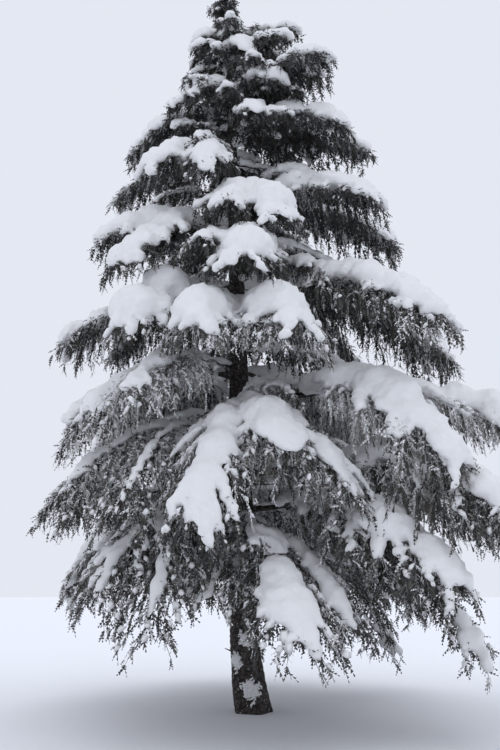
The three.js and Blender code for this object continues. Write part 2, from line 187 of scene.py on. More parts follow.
HANG_STEEP = (0.55, 0.45)  # length of one that doesn't hang down, and how much more with steepness
BEND_OUT = 0.3  # how far out the bend is, for each unit of length
BEND_DOWN = 0.1  # and how far down, for each unit of length and steepness
END_OUT = (0.95, 0.7)  # how far out the end is for each unit of length, and how much less with steepness
END_LIFT = 0.12  # its steepness less this is how far down the end is, for each unit of length
LOWEST = 0.05  # of all that hangs, over the ground
LOWEST_PLAY = 0.12

# Short upright branchlets round the leader
LEADER_TIER = "top"
LEADER_BRANCHLETS = 150
LEADER_GAP = 0.04  # bare end of the leader
LEADER_SPAN = 1.75  # from there down
LEADER_POWER = 1.1  # over 1 they stand closer together towards the top
LEADER_HEIGHTS = [9.6, 10.6, 11.0, 11.46]
LEADER_SIZES = [0.3, 0.22, 0.16, 0.03]  # how far they reach there
LEADER_BEND = 0.5  # of that reach
LEADER_RISE = 0.25
LEADER_CURVE = 1.1  # length for each unit of reach

# Needled shoots
SHOOT_TEETH = 3
INNER_TEETH = 2  # of the shoots on the sheltered limbs
INNER_SPACING = 1.2  # and how much further apart they are
SHOOT_HEIGHTS = [1.0, 2.8, 7.0, 8.8, 10.9, 11.5]  # the crown gets denser from the third to the fourth
SHOOT_SPACINGS = [1.22, 1.03, 1.03, 0.73, 0.7, 0.6]  # how far apart shoots are there
SHOOT_SCALES = [1.16, 1.02, 1.02, 1.3, 1.15, 0.55]  # how long shoots are there
SHOOT_PLAY = (0.75, 1.2)
SHOOT_TAPER = 0.12  # how much shorter they are at the end of a branchlet
END_SHARES = [0.65, 0.95]  # of a limb, over which shoots get longer and closer to a tuft
END_SHOOT = 1.12
END_CLOSE = 0.6
AHEAD_EVERY = 3  # of so many shoots, one goes on along the branchlet and the others stand off its sides
AHEAD_ANGLES = (0, 16)
SIDE_ANGLES = (22, 55)
FOLD = 0.55  # rise of the needle tips for each unit of width
TOOTH_FIRST = 1.25  # where the point of a blade's first tooth is, in steps
TOOTH_PAST = 0.3  # a blade is as many steps long as it has teeth, and this much more
BLADE_SHARES = [0, 0.35, 0.8, 1.05]  # of a blade's length
BLADE_WIDTHS = [0.75, 1.0, 0.85, 0.3]  # how wide it is there
BLADE_SAG = 0.12  # fall of its tip for each unit of length

# The broad dark blade behind the shoots of each branchlet, darker than them as painted shade in the core of
# the spray
SPINE_TEETH = 4
SPINE_LENGTH = 0.85  # of the branchlet
SPINE_WIDTHS = [0.035, 0.029, 0.027, 0.034, 0.03, 0.015]  # half of it, at SHOOT_HEIGHTS
SPINE_PAINTED_SHADE = 0.3  # its rime is that much less, which paints shade into the core of the spray
SPINE_FOLD = 0.3

# Shoots that stand out of the snow along the side twigs
FRINGE_SPACING = 0.055
FRINGE_PLACE = 0.6  # within the shoot's own stretch of the twig
FRINGE_RISE = 0.07  # how far over the end of the side twig they start
FRINGE_AHEAD = 0.8  # how much they head along the twig
FRINGE_ASIDE = 0.75  # and away from it
FRINGE_LIFT = (-0.2, 0.75)
FRINGE_PLAY = (0.8, 1.25)
FRINGE_TAPER = (1.1, 0.3)  # share of their length at the twig's foot, and how much less it is at the tip
FRINGE_RIME = 0.15  # gained by them
FRINGE_FLECKS = 0.5  # chance change of their rime

# Rime, some of it painted light
RIME_HEIGHTS = [0.5, 2.0, 3.0, 3.9, 4.8, 5.8, 9.0]
RIME_SHARES = [0.18, 0.23, 0.48, 0.67, 0.28, 0.0, -0.18]  # how rimed the shoots are there; from 3 to 4.8 m this is partly painted light on the shaded belly
INNER_RIME_AND_LIGHT = 0.45  # gained towards the trunk: partly rime, and partly painted light on the shaded inside of the crown
INNER_RIME_TO = [4.1, 5.2]  # from the first height up less and less, and nothing over the second
EDGE_RIME_HEIGHTS = [7.0, 8.8]
EDGE_RIMES = [0.45, 0.15]  # gained where a branchlet starts, at those heights
EDGE_RIME_POWER = 3  # how soon it fades along the branchlet
STREAKS = 0.2  # chance change of rime from branchlet to branchlet, which streaks the curtains
FLECKS = 0.14  # and from shoot to shoot
RIME_GRADES = [0.2, 0.36, 0.54, 0.72]  # where each grade of rime starts

# Lumps of snow along the limbs
SNOW_START = 0.06  # of the limb
SNOW_END = 0.92
SNOW_STEP = 0.09
SNOW_BASE = 0.085  # half width
SNOW_WIDTH = 0.065  # more of it for each unit of reach
SNOW_WIDEST = 0.2
SNOW_THICKNESS = 0.72
SNOW_SHARES = [0.0, 0.2, 0.5, 0.82, 1.0]  # of the limb
SNOW_SIZES = [0.3, 0.65, 1.0, 0.85, 0.25]  # how wide its snow is there
SNOW_WAVES = {  # length of each kind of wave along a limb, and its row of the noise
    "width": (0.3, 0.5),
    "height": (0.25, 4.5),
    "shift": (0.35, 9.5),
    "twigs": (0.45, 14.5),
}
LIMB_ROW = 7.3  # sets the noise of two limbs apart
OTHER_SIDE = 37.0  # and that of a limb's two sides
WIDTH_SWING = 0.75  # how much those waves change the width
HEIGHT_SWING = 0.6  # and the height
SHIFT_SWING = 0.5  # and how far they shift it to a side, for each unit of half width
SNOW_BREAK = -0.36  # where the noise is below this, the snow has fallen off
SNOW_ON_STEEP = 0.4  # share of its height that snow keeps on the steepest stretches
SNOW_LIFT = 0.12  # how far a lump's middle is over the wood, for each unit of its height
LUMP_LENGTH = (0.1, 0.45)  # half length, and more of it for each unit of half width
BALL_UNDER = 0.55  # how deep a lump is below its middle, for each unit of its height above
BALL_SAG = 0.3  # and how far its sides sag
SOFTENING_FACTOR = 0.6  # how much of the way each round of smoothing goes

# Sheets of snow on the side twigs, which go from thick to thin along a limb
TWIG_SNOW_STEP = 0.07
TWIG_SNOW_ENDS = (0.55, 0.95)  # how much of a side twig the snow covers
TWIG_SNOW = (0.1, 0.06)  # half width at a side twig's foot and tip
TWIG_SNOW_LEAST = 0.04
TWIG_SNOW_MEAN = 0.46
TWIG_SNOW_SWAY = 1.3  # how much the waves along the limb change it
TWIG_SNOW_PLAY = 0.2  # chance change from side twig to side twig
TWIG_SNOW_MOST = 1.15
TWIG_SNOW_GAIN = 1.2  # what each unit of a limb's snow over SNOW_USUAL adds to it
SNOW_USUAL = 0.75
TWIG_SNOW_REACH = (0.45, 0.3)  # share of its width at no reach, and more for each unit of reach, up to 1
TWIG_LUMP_PLAY = (0.75, 1.2)
TWIG_LUMP_AXES = (1.3, 0.75)  # ahead and over, for each unit of half width
TWIG_LUMP_LIFT = 0.35

# Fingers of snow down the branchlets at the edge of the sheets
FINGER_BAND = 0.35  # they hang within this share of a side twig from the edge of its snow
FINGER_FULL = 0.35  # and only where its snow is at least this thick
FINGER_SHARE = 0.9
FINGER_LENGTH = 0.36  # of the branchlet
FINGER_REACHES = (0.3, 1.0)  # of that length
FINGER_PLACE = 0.3  # of the first lump, in steps
FINGER_SIZES = (0.022, 0.045)  # at the end and at the start
FINGER_PLAY = (0.8, 1.2)
FINGER_AXES = (1.3, 0.9)  # ahead and over, for each unit of size
FINGER_LIFT = 0.3
NEARLY_UP = np.array([0.3, 0.2, 1.0])  # a way along which no branchlet hangs

# Small clumps of snow along the branchlets
CLUMP_SHARE = 0.64  # clumps for each branchlet
CLUMP_PLACES = (0.05, 0.9)  # of the branchlet
CLUMP_TURN = 0.3  # how far a clump turns away from the branchlet's way
CLUMP_SIZES = (0.02, 0.05)
CLUMP_TAPER = (1.1, 0.5)  # size at a branchlet's start, and how much less at its end
CLUMP_HEIGHTS = [1.0, 5.0, 8.5]
CLUMP_GROWTH = [1.15, 1.0, 0.8]  # how large they are there
CLUMP_CHANCE = [1.0, 0.85, 0.45]  # and how many of them there are
CLUMP_RING = 5  # corners round a clump
CLUMP_AXES = (1.25, 0.85, 0.75, 0.45)  # ahead, to the side, over and under, in sizes
CLUMP_PLAY = (0.8, 1.2)
CLUMP_LIFT = 0.4
CLUMP_LOWEST = 0.01

# Lobes of clumps that fray the snow's edge
RIM_CHANCE = 0.7  # share of the branchlets there that carry one
RIM_CLUMPS = 3  # of each lobe
RIM_SPAN = 0.34  # of the branchlet
RIM_REACHES = (0.6, 1.0)  # of that span
RIM_TURN = 0.25  # how far a clump turns away from the branchlet's way
RIM_SIZES = (0.02, 0.056)  # at the end and at the start
RIM_PLAY = (0.85, 1.2)

# Snow stuck to the trunk: azimuth, height, half width, half height
PATCHES = [(-84, 0.27, 0.12, 0.14), (-82, 0.86, 0.1, 0.1), (-128, 0.6, 0.07, 0.1)]
PATCH_LUMPS = 240
PATCH_SPREAD = 0.38  # of a patch's half width and half height
PATCH_SIZES = (0.015, 0.034)
PATCH_LOWEST = 0.03
PATCH_GAP = 0.001

# Finishes
SPECKLE_EDGES = (0.36, 0.64)  # of the noise, between which one colour turns into the other
NEEDLE_PATCH = 24 * MM
RIME_PATCH = 60 * MM
SHADE_LOW = 0.62  # the darker and the lighter colour of a grade, for each unit of its own
SHADE_HIGH = 1.4
NEEDLE_GRADES = [  # material, its colour's setting, roughness
    # The first grade is a darker copy of the bare needles' colour, dealt to the least rimed shoots: painted
    # shade in the sprays.
    ("needles_waxy_shaded", "shaded", 0.55),
    ("needles_waxy_green", "green", 0.6),
    ("needles_thin_rime", "grey", 0.75),
    ("needles_thick_rime", "rimed", 0.85),
    ("needles_snow_dusted", "white", 0.9),
]
SNOW_BUMPS = [(110 * MM, 1.0, 0.5, 30 * MM), (18 * MM, 4.0, 0.25, 6 * MM)]  # size, detail, strength, depth
BARK_FLECK = 22 * MM  # snow blown into the cracks
FLECK_FROM = 0.66
FLECK_TO = 0.72
FLECK_COLOUR = (0.7, 0.72, 0.76)  # as linear values
CRACK_EDGES = (0.0, 0.7)  # between these distances from its middle, in scales, one turns into a crack
CRACK_DEPTH = 8 * MM

# Stage
FLOOR_HALF = 60.0
ZENITH_FROM = 0.7  # how steeply up the light starts to get brighter, as a sine
ZENITH_TO = 0.95  # and where it is brightest
CAMERA_PLACE = (-0.04, -9.7)  # x and y
SENSOR = 36.0  # mm
FARTHEST = 300.0

# The front of the crown. Each mass: its name, the height of its stem on the trunk, whether a bough
# carries it, and its limbs as azimuth, reach from the trunk's axis, height of the tip, in millimetres,
# and how much snow lies on it.
FRONT_MASSES = [
    ("peak_front", 8950, False,
     [(-136, 1250, 8250, 1.1), (-52, 1300, 8650, 1.3), (-42, 1900, 8950, 1.0)]),
    ("peak_left", 8700, False, [(162, 1750, 8400, 1.2), (-170, 1300, 8300, 1.0)]),
    ("upper_right", 8350, False, [(-76, 1500, 7800, 1.0), (-32, 2000, 7850, 1.0), (2, 2150, 8150, 1.0)]),
    ("upper_left", 7650, False, [(-101, 1800, 6650, 0.9), (-127, 1900, 6850, 1.3), (172, 1850, 7350, 1.0)]),
    ("high_front", 6700, False, [(-91, 2000, 6050, 1.2), (-73, 2200, 5800, 1.1)]),
    ("high_right", 7050, False, [(-35, 2400, 6500, 1.2), (4, 2500, 6500, 1.0)]),
    ("high_left", 6450, False, [(-148, 2150, 6000, 1.1), (-131, 2250, 5350, 1.1)]),
    ("mid_front", 5850, False, [(-101, 2150, 5550, 0.7), (-86, 2450, 5100, 1.3)]),
    ("mid_right", 5500, False, [(-43, 3300, 4450, 1.1), (3, 3200, 4600, 1.0)]),
    ("mid_left", 5450, False, [(-122, 2450, 4400, 1.2), (171, 2650, 5000, 1.35)]),
    ("belly_front", 4850, False, [(-100, 2600, 4250, 1.2), (-75, 2700, 4250, 1.3)]),
    ("waist_left", 4350, False,
     [(-119, 2600, 3550, 0.55), (-136, 2700, 3150, 0.6), (-165, 2300, 3700, 0.55)]),
    ("waist_right", 4000, True, [(-46, 3450, 2700, 1.1), (-2, 3900, 3650, 1.0)]),
    ("skirt_front", 3620, True, [(-99, 2850, 2000, 0.75), (-78, 2500, 2900, 1.0), (-61, 2600, 2350, 0.5)]),
    ("skirt_left", 3450, True, [(-136, 2800, 2400, 0.45), (-117, 2700, 2250, 0.3), (-165, 2350, 2300, 0.45)]),
    ("skirt_right", 3000, True, [(-41, 3850, 2200, 0.8), (-5, 3700, 2100, 0.8)]),
    ("foot_left", 2550, True, [(-126, 2600, 1300, 0.3), (-110, 2650, 950, 0.3), (-157, 2150, 1500, 0.4)]),
    ("foot_right", 2500, False, [(-49, 3400, 1500, 0.95), (-33, 3200, 750, 0.5), (31, 2500, 450, 0.5)]),
    ("foot_front", 2050, True, [(-99, 2000, 1380, 0.3), (-78, 2900, 950, 0.85), (-62, 2500, 1050, 0.5)]),
]

# The far side, by rule: tier, root height in millimetres, fans, limbs in a fan
REAR_TIERS = [
    ("peak_rear", 9150, 1, 3),
    ("upper_rear", 8250, 1, 3),
    ("high_rear", 7150, 1, 4),
    ("mid_rear", 5950, 1, 5),
    ("waist_rear", 4500, 2, 3),
    ("foot_rear", 2900, 2, 3),
]
REAR_FROM = 22  # azimuths of the far side
REAR_TO = 172
REAR_REACH = 3600  # of a limb at the ground, in millimetres
REAR_POWER = 0.55  # how the crown narrows towards the top
REAR_SKEW = 0.12  # how much further limbs reach on the +X side
REAR_DROP = 0.36  # fall for each unit of reach
REAR_MORE_DROP = 0.28  # and more of it towards the ground
REAR_PLAY = 0.14  # every second limb is that much shorter, and falls less

# The top: whorls of short limbs round the leader
TIP_WHORLS = [
    (9900, [(-125, 850, 9550, 1.2), (-67, 950, 9300, 1.45), (-38, 1200, 9700, 1.0),
            (25, 1050, 9500, 0.8), (110, 1000, 9400, 0.8)]),
    (10250, [(-150, 600, 10000, 1.1), (-22, 1250, 10050, 0.9), (70, 700, 9950, 0.7), (165, 620, 9900, 0.7)]),
    (10850, [(-60, 260, 10950, 0.5), (60, 280, 10880, 0.5), (180, 260, 10940, 0.5)]),
]

# Short inner limbs that fill the crown round the trunk, turning by the golden angle
INNER_FROM = 1.9
INNER_TO = 11.1
INNER_HEIGHTS = (6.5, 8.8)  # below and above these heights the values of the next pairs hold
INNER_STEPS = (0.22, 0.07)  # from one to the next
INNER_SNOW_HEIGHTS = [3.0, 5.5]
INNER_SNOWS = [0.35, 0.7]  # how much snow lies on them there
INNER_SHARES = (0.68, 0.88)  # of the crown's reach at that height
INNER_SKEWS = (0.1, 0.3)  # how much further they reach on the +X side
INNER_PLAY = (0.75, 1.12)
SPIRE_HEIGHTS = [9.7, 10.35, 11.4]  # above the lowest of these the crown is a narrow spire
SPIRE_REACHES = [2.0, 0.34, 0.03]
INNER_TURN = 137.5
SHELTER_TOP = 7.0  # below this they are deep in the crown, and their finer parts don't show
INNER_DROP = 0.2  # fall for each unit of reach

# Pieces are made tier by tier, and a tier reaches down to a height. A mass whose name starts with one of
# these words belongs to that tier.
TIER_FOOT = {"top": 8.9, "upper": 7.7, "high": 6.4, "mid": 5.1, "waist": 4.0, "skirt": 2.9, "foot": 0.0}
TIERS = {
    "top": ("crown", "peak"),
    "upper": ("upper",),
    "high": ("high",),
    "mid": ("mid", "belly"),
    "waist": ("waist",),
    "skirt": ("skirt",),
    "foot": ("foot",),
}

Limb = namedtuple("Limb", "mass index start points radii reach snow length")
Twigs = namedtuple("Twigs", "start heading length share")
Branchlets = namedtuple("Branchlets", "start bend end length inner edge twig")


def chance(use, index=0):
    """Random draws of their own for each use and each limb."""
    return np.random.default_rng(SEEDS[use] + index)


def linear(code):
    """An sRGB hex colour as linear values."""
    values = [int(code[i:i + 2], 16) / 255 for i in (1, 3, 5)]
    return tuple(v / 12.92 if v <= 0.04045 else ((v + 0.055) / 1.055) ** 2.4 for v in values)


def level(azimuth):
    """The level way at an azimuth."""
    turn = math.radians(azimuth)
    return np.array([math.cos(turn), math.sin(turn), 0.0])


def unit(vectors):
    """Vectors made one long."""
    return vectors / np.maximum(np.linalg.norm(vectors, axis=-1, keepdims=True), 1e-9)


def trunk_axis(z):
    """The x of the trunk's axis at a height. It leans to the -X side."""
    return -(FOOT_SWEEP * (1 - math.exp(-z / SWEEP_HEIGHT)) + LEAN * (z / HEIGHT) ** 2)


def trunk_radius(z):
    """The trunk's radius at a height."""
    taper = STEM_RADIUS * max(0.0, 1 - z / HEIGHT) ** TAPER
    return taper + FLARE * math.exp(-((z / FLARE_HEIGHT) ** 2)) + LEADER_RADIUS


def on_trunk(z):
    """The point of the trunk's axis at a height."""
    return np.array([trunk_axis(z), 0.0, z])


def frames(points):
    """At each point of a path: its direction, the level way to its right, and the way square to both."""
    way = unit(np.gradient(points, axis=-2))
    side = unit(np.cross(way, UP))
    rise = np.cross(side, way)
    return way, side, rise


def limb_of(mass, index, start, root, row):
    """One limb, a curve with two bends, which rises a little and then droops to its tip."""
    azimuth, reach, tip_height, snow = row
    reach = reach * MM
    tip = on_trunk(root) + level(azimuth) * reach
    tip[2] = tip_height * MM
    lift = LIMB_LIFT * math.hypot(tip[0] - start[0], tip[1] - start[1])
    rising = start + (tip - start) * CREST
    rising[2] = start[2] + lift
    falling = start + (tip - start) * FALL
    falling[2] = tip[2] + FALL_HEIGHT * (start[2] - tip[2]) + lift / 2
    t = np.linspace(0, 1, LIMB_STATIONS)[:, None]
    points = (1 - t) ** 3 * start + 3 * t * (1 - t) ** 2 * rising
    points = points + 3 * t * t * (1 - t) * falling + t ** 3 * tip
    thick = LIMB_BASE + LIMB_SWELL * reach
    radii = thick + (TIP_RADIUS - thick) * t[:, 0]
    length = np.linalg.norm(np.diff(points, axis=0), axis=1).sum()
    return Limb(mass, index, start, points, radii, reach, snow, length)


def rear_masses():
    """The far side's masses in the form of the front ones."""
    rows = []
    for tier, root, fans, count in REAR_TIERS:
        low = 1 - root * MM / HEIGHT
        width = (REAR_TO - REAR_FROM) / fans
        for fan in range(fans):
            limbs = []
            for k in range(count):
                azimuth = REAR_FROM + width * (fan + (k + 0.5) / count)
                play = REAR_PLAY if k % 2 else 0
                skew = 1 + REAR_SKEW * math.cos(math.radians(azimuth))
                reach = REAR_REACH * low ** REAR_POWER * skew * (1 - play)
                tip = root - reach * (REAR_DROP + REAR_MORE_DROP * low) * (1 - 2 * play)
                limbs.append((azimuth, reach, tip, 1.0))
            name = tier if fans == 1 else f"{tier}_{'left' if fan else 'right'}"
            rows.append((name, root, False, limbs))
    return rows


def fork_of(root, bough, rows):
    """Where the limbs of a mass part: out from the trunk along their mean azimuth."""
    way = unit(sum(level(row[0]) for row in rows))
    shortest = min(row[1] for row in rows) * MM
    far = BOUGH_SHARE * shortest if bough else FORK_SHARE * shortest + FORK_BASE
    return on_trunk(root) + way * far + UP * FORK_RISE


def inner_heights():
    """Heights of the short inner limbs, closer together towards the top."""
    heights = [INNER_FROM]
    while heights[-1] < INNER_TO:
        heights.append(heights[-1] + np.interp(heights[-1], INNER_HEIGHTS, INNER_STEPS))
    return heights


@lru_cache(maxsize=None)
def limbs():
    """Every limb of the crown, in order."""
    made = []
    for name, root, bough, rows in FRONT_MASSES + rear_masses():
        fork = fork_of(root * MM, bough, rows)
        for row in rows:
            made.append(limb_of(name, len(made), fork, root * MM, row))
    for root, rows in TIP_WHORLS:
        for row in rows:
            start = on_trunk(root * MM) + level(row[0]) * trunk_radius(root * MM)
            made.append(limb_of("crown_tip", len(made), start, root * MM, row))
    draw = chance("inner limbs")
    for k, height in enumerate(inner_heights()):
        tier = next(name for name, foot in TIER_FOOT.items() if height >= foot)
        azimuth = INNER_TURN * k
        crown = REAR_REACH * (1 - height / HEIGHT) ** REAR_POWER
        share = np.interp(height, INNER_HEIGHTS, INNER_SHARES) * draw.uniform(*INNER_PLAY)
        skew = np.interp(height, INNER_HEIGHTS, INNER_SKEWS) * math.cos(math.radians(azimuth))
        reach = min(crown * share * (1 + skew), np.interp(height, SPIRE_HEIGHTS, SPIRE_REACHES) / MM)
        tip = height / MM - INNER_DROP * reach
        start = on_trunk(height) + level(azimuth) * trunk_radius(height)
        row = (azimuth, reach, tip, np.interp(height, INNER_SNOW_HEIGHTS, INNER_SNOWS))
        made.append(limb_of(f"{TIERS[tier][0]}_inner", len(made), start, height, row))
    return made


def tier_limbs(tier):
    """The limbs of one tier."""
    return [limb for limb in limbs() if limb.mass.split("_")[0] in TIERS[tier]]


def tier_nodes(tier, snow):
    """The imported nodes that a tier's needles, or its snow, stand for."""
    found = []
    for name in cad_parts:
        words = name.split("_")
        if words[0] == "snow":
            if snow and words[1] in TIERS[tier]:
                found.append(name)
        elif not snow and words[0] in TIERS[tier]:
            found.append(name)
    return found


def along(limb, shares):
    """Points, ways, sides, rises and radii at shares of a limb."""
    way, side, rise = frames(limb.points)
    spots = np.linspace(0, 1, LIMB_STATIONS)

    def at(values):
        return np.stack([np.interp(shares, spots, values[:, k]) for k in range(3)], axis=1)

    radii = np.interp(shares, spots, limb.radii)
    return at(limb.points), unit(at(way)), unit(at(side)), unit(at(rise)), radii


def hand_of(turns):
    """Left and right in turn, as -1 and 1."""
    return np.where(turns % 2, 1.0, -1.0)


@lru_cache(maxsize=None)
def side_twigs(index):
    """The side twigs of one limb: left and right in turn, drooping outwards."""
    limb = limbs()[index]
    draw = chance("twigs", index)
    count = max(4, int(limb.length / TWIG_SPACING))
    first = np.interp(limb.start[2], TWIG_HEIGHTS, TWIG_FIRST)
    shares = first + (TWIG_LAST - first) * (np.arange(count) + draw.uniform(*TWIG_PLACES, count)) / count
    point, way, side, rise, _ = along(limb, shares)
    turn = TWIG_TURN * (TWIG_CLOSING[0] - TWIG_CLOSING[1] * shares)
    turn = np.radians(turn + draw.uniform(-TWIG_TURN_PLAY, TWIG_TURN_PLAY, count))
    heading = way * np.cos(turn)[:, None] + side * (hand_of(np.arange(count)) * np.sin(turn))[:, None]
    heading += rise * draw.uniform(*TWIG_LIFTS, count)[:, None]
    length = np.minimum(TWIG_LENGTH * limb.reach, TWIG_LONGEST) * np.interp(shares, FAN_SHARES, FAN_SIZES)
    length *= draw.uniform(*TWIG_PLAY, count)
    return Twigs(point, heading, length, shares)


def picked(parts, rows):
    """Some rows of a set of twigs or branchlets."""
    return type(parts)(*[value[rows] for value in parts])


def twig_at(twigs, u):
    """Points at a share u along each side twig."""
    fall = TWIG_DROOP * (TWIG_BEND[0] * u + TWIG_BEND[1] * u * u)
    return twigs.start + (twigs.heading * u[:, None] - UP * fall[:, None]) * twigs.length[:, None]


def twig_way(twigs, u):
    """Which way each side twig runs at a share u along it."""
    return unit(twigs.heading - UP * (TWIG_DROOP * (TWIG_BEND[0] + 2 * TWIG_BEND[1] * u))[:, None])


def repeat_rows(counts):
    """For each row repeated counts times: its row number, and the turn within that row."""
    rows = np.repeat(np.arange(len(counts)), counts)
    first = np.repeat(np.cumsum(counts) - counts, counts)
    return rows, np.arange(len(rows)) - first


def branchlet_feet(index, draw):
    """Where the branchlets of one limb start, first on its side twigs and then on the limb itself.

    Gives the points, the ways along and across the wood, the shares of the limb, the shares of the
    wood that carries them, and the numbers of their side twigs, which are -1 on the limb.
    """
    limb = limbs()[index]
    twigs = side_twigs(index)
    counts = np.maximum(2, np.round(twigs.length / BRANCHLET_SPACING)).astype(int)
    rows, turns = repeat_rows(counts)
    u = (turns + draw.uniform(*BRANCHLET_PLACES, len(rows))) / counts[rows]
    carriers = picked(twigs, rows)
    across = unit(np.cross(carriers.heading, UP)) * hand_of(turns)[:, None]
    on_twigs = (twig_at(carriers, u), carriers.heading, across, carriers.share, u, rows)

    own = np.arange(max(3, int(limb.length / BRANCHLET_SPACING)))
    share = TWIG_FIRST[0] + (BRANCHLET_LAST - TWIG_FIRST[0]) * (own + 0.5) / len(own)
    point, way, side, _, _ = along(limb, share)
    on_limb = (point, way, side * hand_of(own)[:, None], share, share, np.full(len(own), -1))
    return [np.concatenate(pair) for pair in zip(on_twigs, on_limb)]


@lru_cache(maxsize=None)
def branchlets(index):
    """The branchlets that hang from one limb and its side twigs, or those round the leader."""
    if index == LEADER:
        return leader_branchlets()
    draw = chance("branchlets", index)
    start, heading, across, share, edge, twig = branchlet_feet(index, draw)
    count = len(start)
    out = heading * draw.uniform(*OUT_AHEAD, count)[:, None]
    out = unit(out + across * draw.uniform(*OUT_ASIDE, count)[:, None])
    on_twig = twig >= 0
    play = np.empty(count)
    play[on_twig] = draw.uniform(*HANG_PLAY, len(side_twigs(index).length))[twig[on_twig]]
    play[~on_twig] = draw.uniform(*HANG_PLAY, np.count_nonzero(~on_twig))
    hang = (HANG_BASE + HANG * limbs()[index].reach) * play * draw.uniform(*HANG_FLUTTER, count)
    hang *= np.interp(share, HANG_SHARES, HANG_SIZES) * (1 - HANG_EDGE * np.where(on_twig, edge, 0) ** 2)
    hang *= np.interp(start[:, 2], HANG_HEIGHTS, HANG_LENGTHS)
    down = np.interp(start[:, 2], STEEP_HEIGHTS, STEEPNESS)
    hang *= HANG_STEEP[0] + HANG_STEEP[1] * down
    bend = start + out * (BEND_OUT * hang)[:, None] - UP * (BEND_DOWN * hang * down)[:, None]
    end = start + out * (hang * (END_OUT[0] - END_OUT[1] * down))[:, None]
    end = end - UP * (hang * (down - END_LIFT))[:, None]
    end[:, 2] = np.maximum(end[:, 2], LOWEST + draw.uniform(0, LOWEST_PLAY, count))
    return Branchlets(start, bend, end, hang, 1 - share, edge, twig)


def leader_branchlets():
    """Short upright branchlets round the leader and the bare core of the top."""
    draw = chance("leader")
    count = LEADER_BRANCHLETS
    z = HEIGHT - LEADER_GAP - LEADER_SPAN * draw.uniform(0, 1, count) ** LEADER_POWER
    turn = draw.uniform(0, 360, count)
    ways = np.array([level(a) for a in turn])
    start = np.array([on_trunk(h) for h in z])
    size = np.interp(z, LEADER_HEIGHTS, LEADER_SIZES)
    bend = start + ways * (LEADER_BEND * size)[:, None]
    end = start + ways * size[:, None] + UP * (LEADER_RISE * size)[:, None]
    length = size * LEADER_CURVE
    return Branchlets(start, bend, end, length, np.zeros(count), np.ones(count), np.full(count, -1))


def hang_at(parts, s):
    """Points at a share s along each branchlet, a curve with one bend."""
    s = s[:, None]
    return (1 - s) ** 2 * parts.start + 2 * s * (1 - s) * parts.bend + s * s * parts.end


def hang_way(parts, s):
    """Which way each branchlet runs at a share s along it."""
    s = s[:, None]
    return unit(2 * (1 - s) * (parts.bend - parts.start) + 2 * s * (parts.end - parts.bend))


def rime_at(height, inner):
    """How rimed shoots are at a height, and at a share of the way in to the trunk; towards the trunk and
    round the belly some of it is painted light on shaded foliage.
    """
    # Rime gained towards the trunk is partly painted light on the shaded inside of the crown.
    gained = inner * np.interp(height, INNER_RIME_TO, [INNER_RIME_AND_LIGHT, 0])
    return np.interp(height, RIME_HEIGHTS, RIME_SHARES) + gained


def sheltered(index):
    """Whether a limb is deep in the crown, where nothing shows its finer parts."""
    if index == LEADER:
        return False
    limb = limbs()[index]
    return limb.mass.endswith("inner") and limb.start[2] < SHELTER_TOP


def near_end(share, value):
    """1 along most of a limb, and then more and more like a value towards its end."""
    return np.interp(share, END_SHARES, [1.0, value])


def shoots(index, settings):
    """The needled shoots of one limb: start, way, length and grade of rime of each."""
    parts = branchlets(index)
    draw = chance("shoots", index)
    spacing = settings.spacing * np.interp(parts.start[:, 2], SHOOT_HEIGHTS, SHOOT_SPACINGS)
    spacing *= near_end(1 - parts.inner, END_CLOSE) * (INNER_SPACING if sheltered(index) else 1)
    counts = np.maximum(3, np.round(parts.length / spacing)).astype(int)
    rows, turns = repeat_rows(counts)
    s = (turns + 0.5) / counts[rows]
    hung = picked(parts, rows)
    start = hang_at(hung, s)
    way = hang_way(hung, s)
    plane = unit(draw.normal(size=(len(counts), 3)))[rows]
    side = unit(np.cross(way, plane)) * np.where(turns % AHEAD_EVERY == 1, 1.0, -1.0)[:, None]
    ahead = draw.uniform(*AHEAD_ANGLES, len(rows))
    aside = draw.uniform(*SIDE_ANGLES, len(rows))
    angle = np.radians(np.where(turns % AHEAD_EVERY == 0, ahead, aside))
    heading = way * np.cos(angle)[:, None] + side * np.sin(angle)[:, None]
    length = settings.length * (1 - SHOOT_TAPER * s) * draw.uniform(*SHOOT_PLAY, len(rows))
    length *= np.interp(start[:, 2], SHOOT_HEIGHTS, SHOOT_SCALES)
    length *= near_end(1 - hung.inner, END_SHOOT)

    # These grades carry painted light towards the trunk and round the belly, besides rime.
    frosty = rime_at(start[:, 2], hung.inner)
    frosty += np.interp(start[:, 2], EDGE_RIME_HEIGHTS, EDGE_RIMES) * (1 - s) ** EDGE_RIME_POWER
    frosty += STREAKS * draw.normal(size=len(counts))[rows]
    frosty += draw.uniform(-FLECKS, FLECKS, len(rows))
    found = (start, heading, length, np.digitize(frosty, RIME_GRADES))
    if index == LEADER or sheltered(index):
        return found
    return [np.concatenate(pair) for pair in zip(found, fringe_shoots(index, settings))]


def fringe_shoots(index, settings):
    """Shoots along the side twigs of one limb, left and right in turn, mostly dusted with snow."""
    twigs = side_twigs(index)
    draw = chance("fringe", index)
    spacing = FRINGE_SPACING * near_end(twigs.share, END_CLOSE)
    counts = np.maximum(3, np.round(twigs.length / spacing)).astype(int)
    rows, turns = repeat_rows(counts)
    u = (turns + FRINGE_PLACE) / counts[rows]
    carriers = picked(twigs, rows)
    start = twig_at(carriers, u) + UP * (FRINGE_RISE * u * u)[:, None]
    way = twig_way(carriers, u)
    side = unit(np.cross(way, UP)) * hand_of(turns)[:, None]
    lift = draw.uniform(*FRINGE_LIFT, len(rows))
    heading = unit(way * FRINGE_AHEAD + side * FRINGE_ASIDE + UP * lift[:, None])
    length = settings.length * draw.uniform(*FRINGE_PLAY, len(rows)) * (FRINGE_TAPER[0] - FRINGE_TAPER[1] * u)
    length *= near_end(carriers.share, END_SHOOT)
    frosty = rime_at(start[:, 2], 0) + FRINGE_RIME + draw.uniform(-FRINGE_FLECKS, FRINGE_FLECKS, len(rows))
    return start, heading, length, np.digitize(frosty, RIME_GRADES)


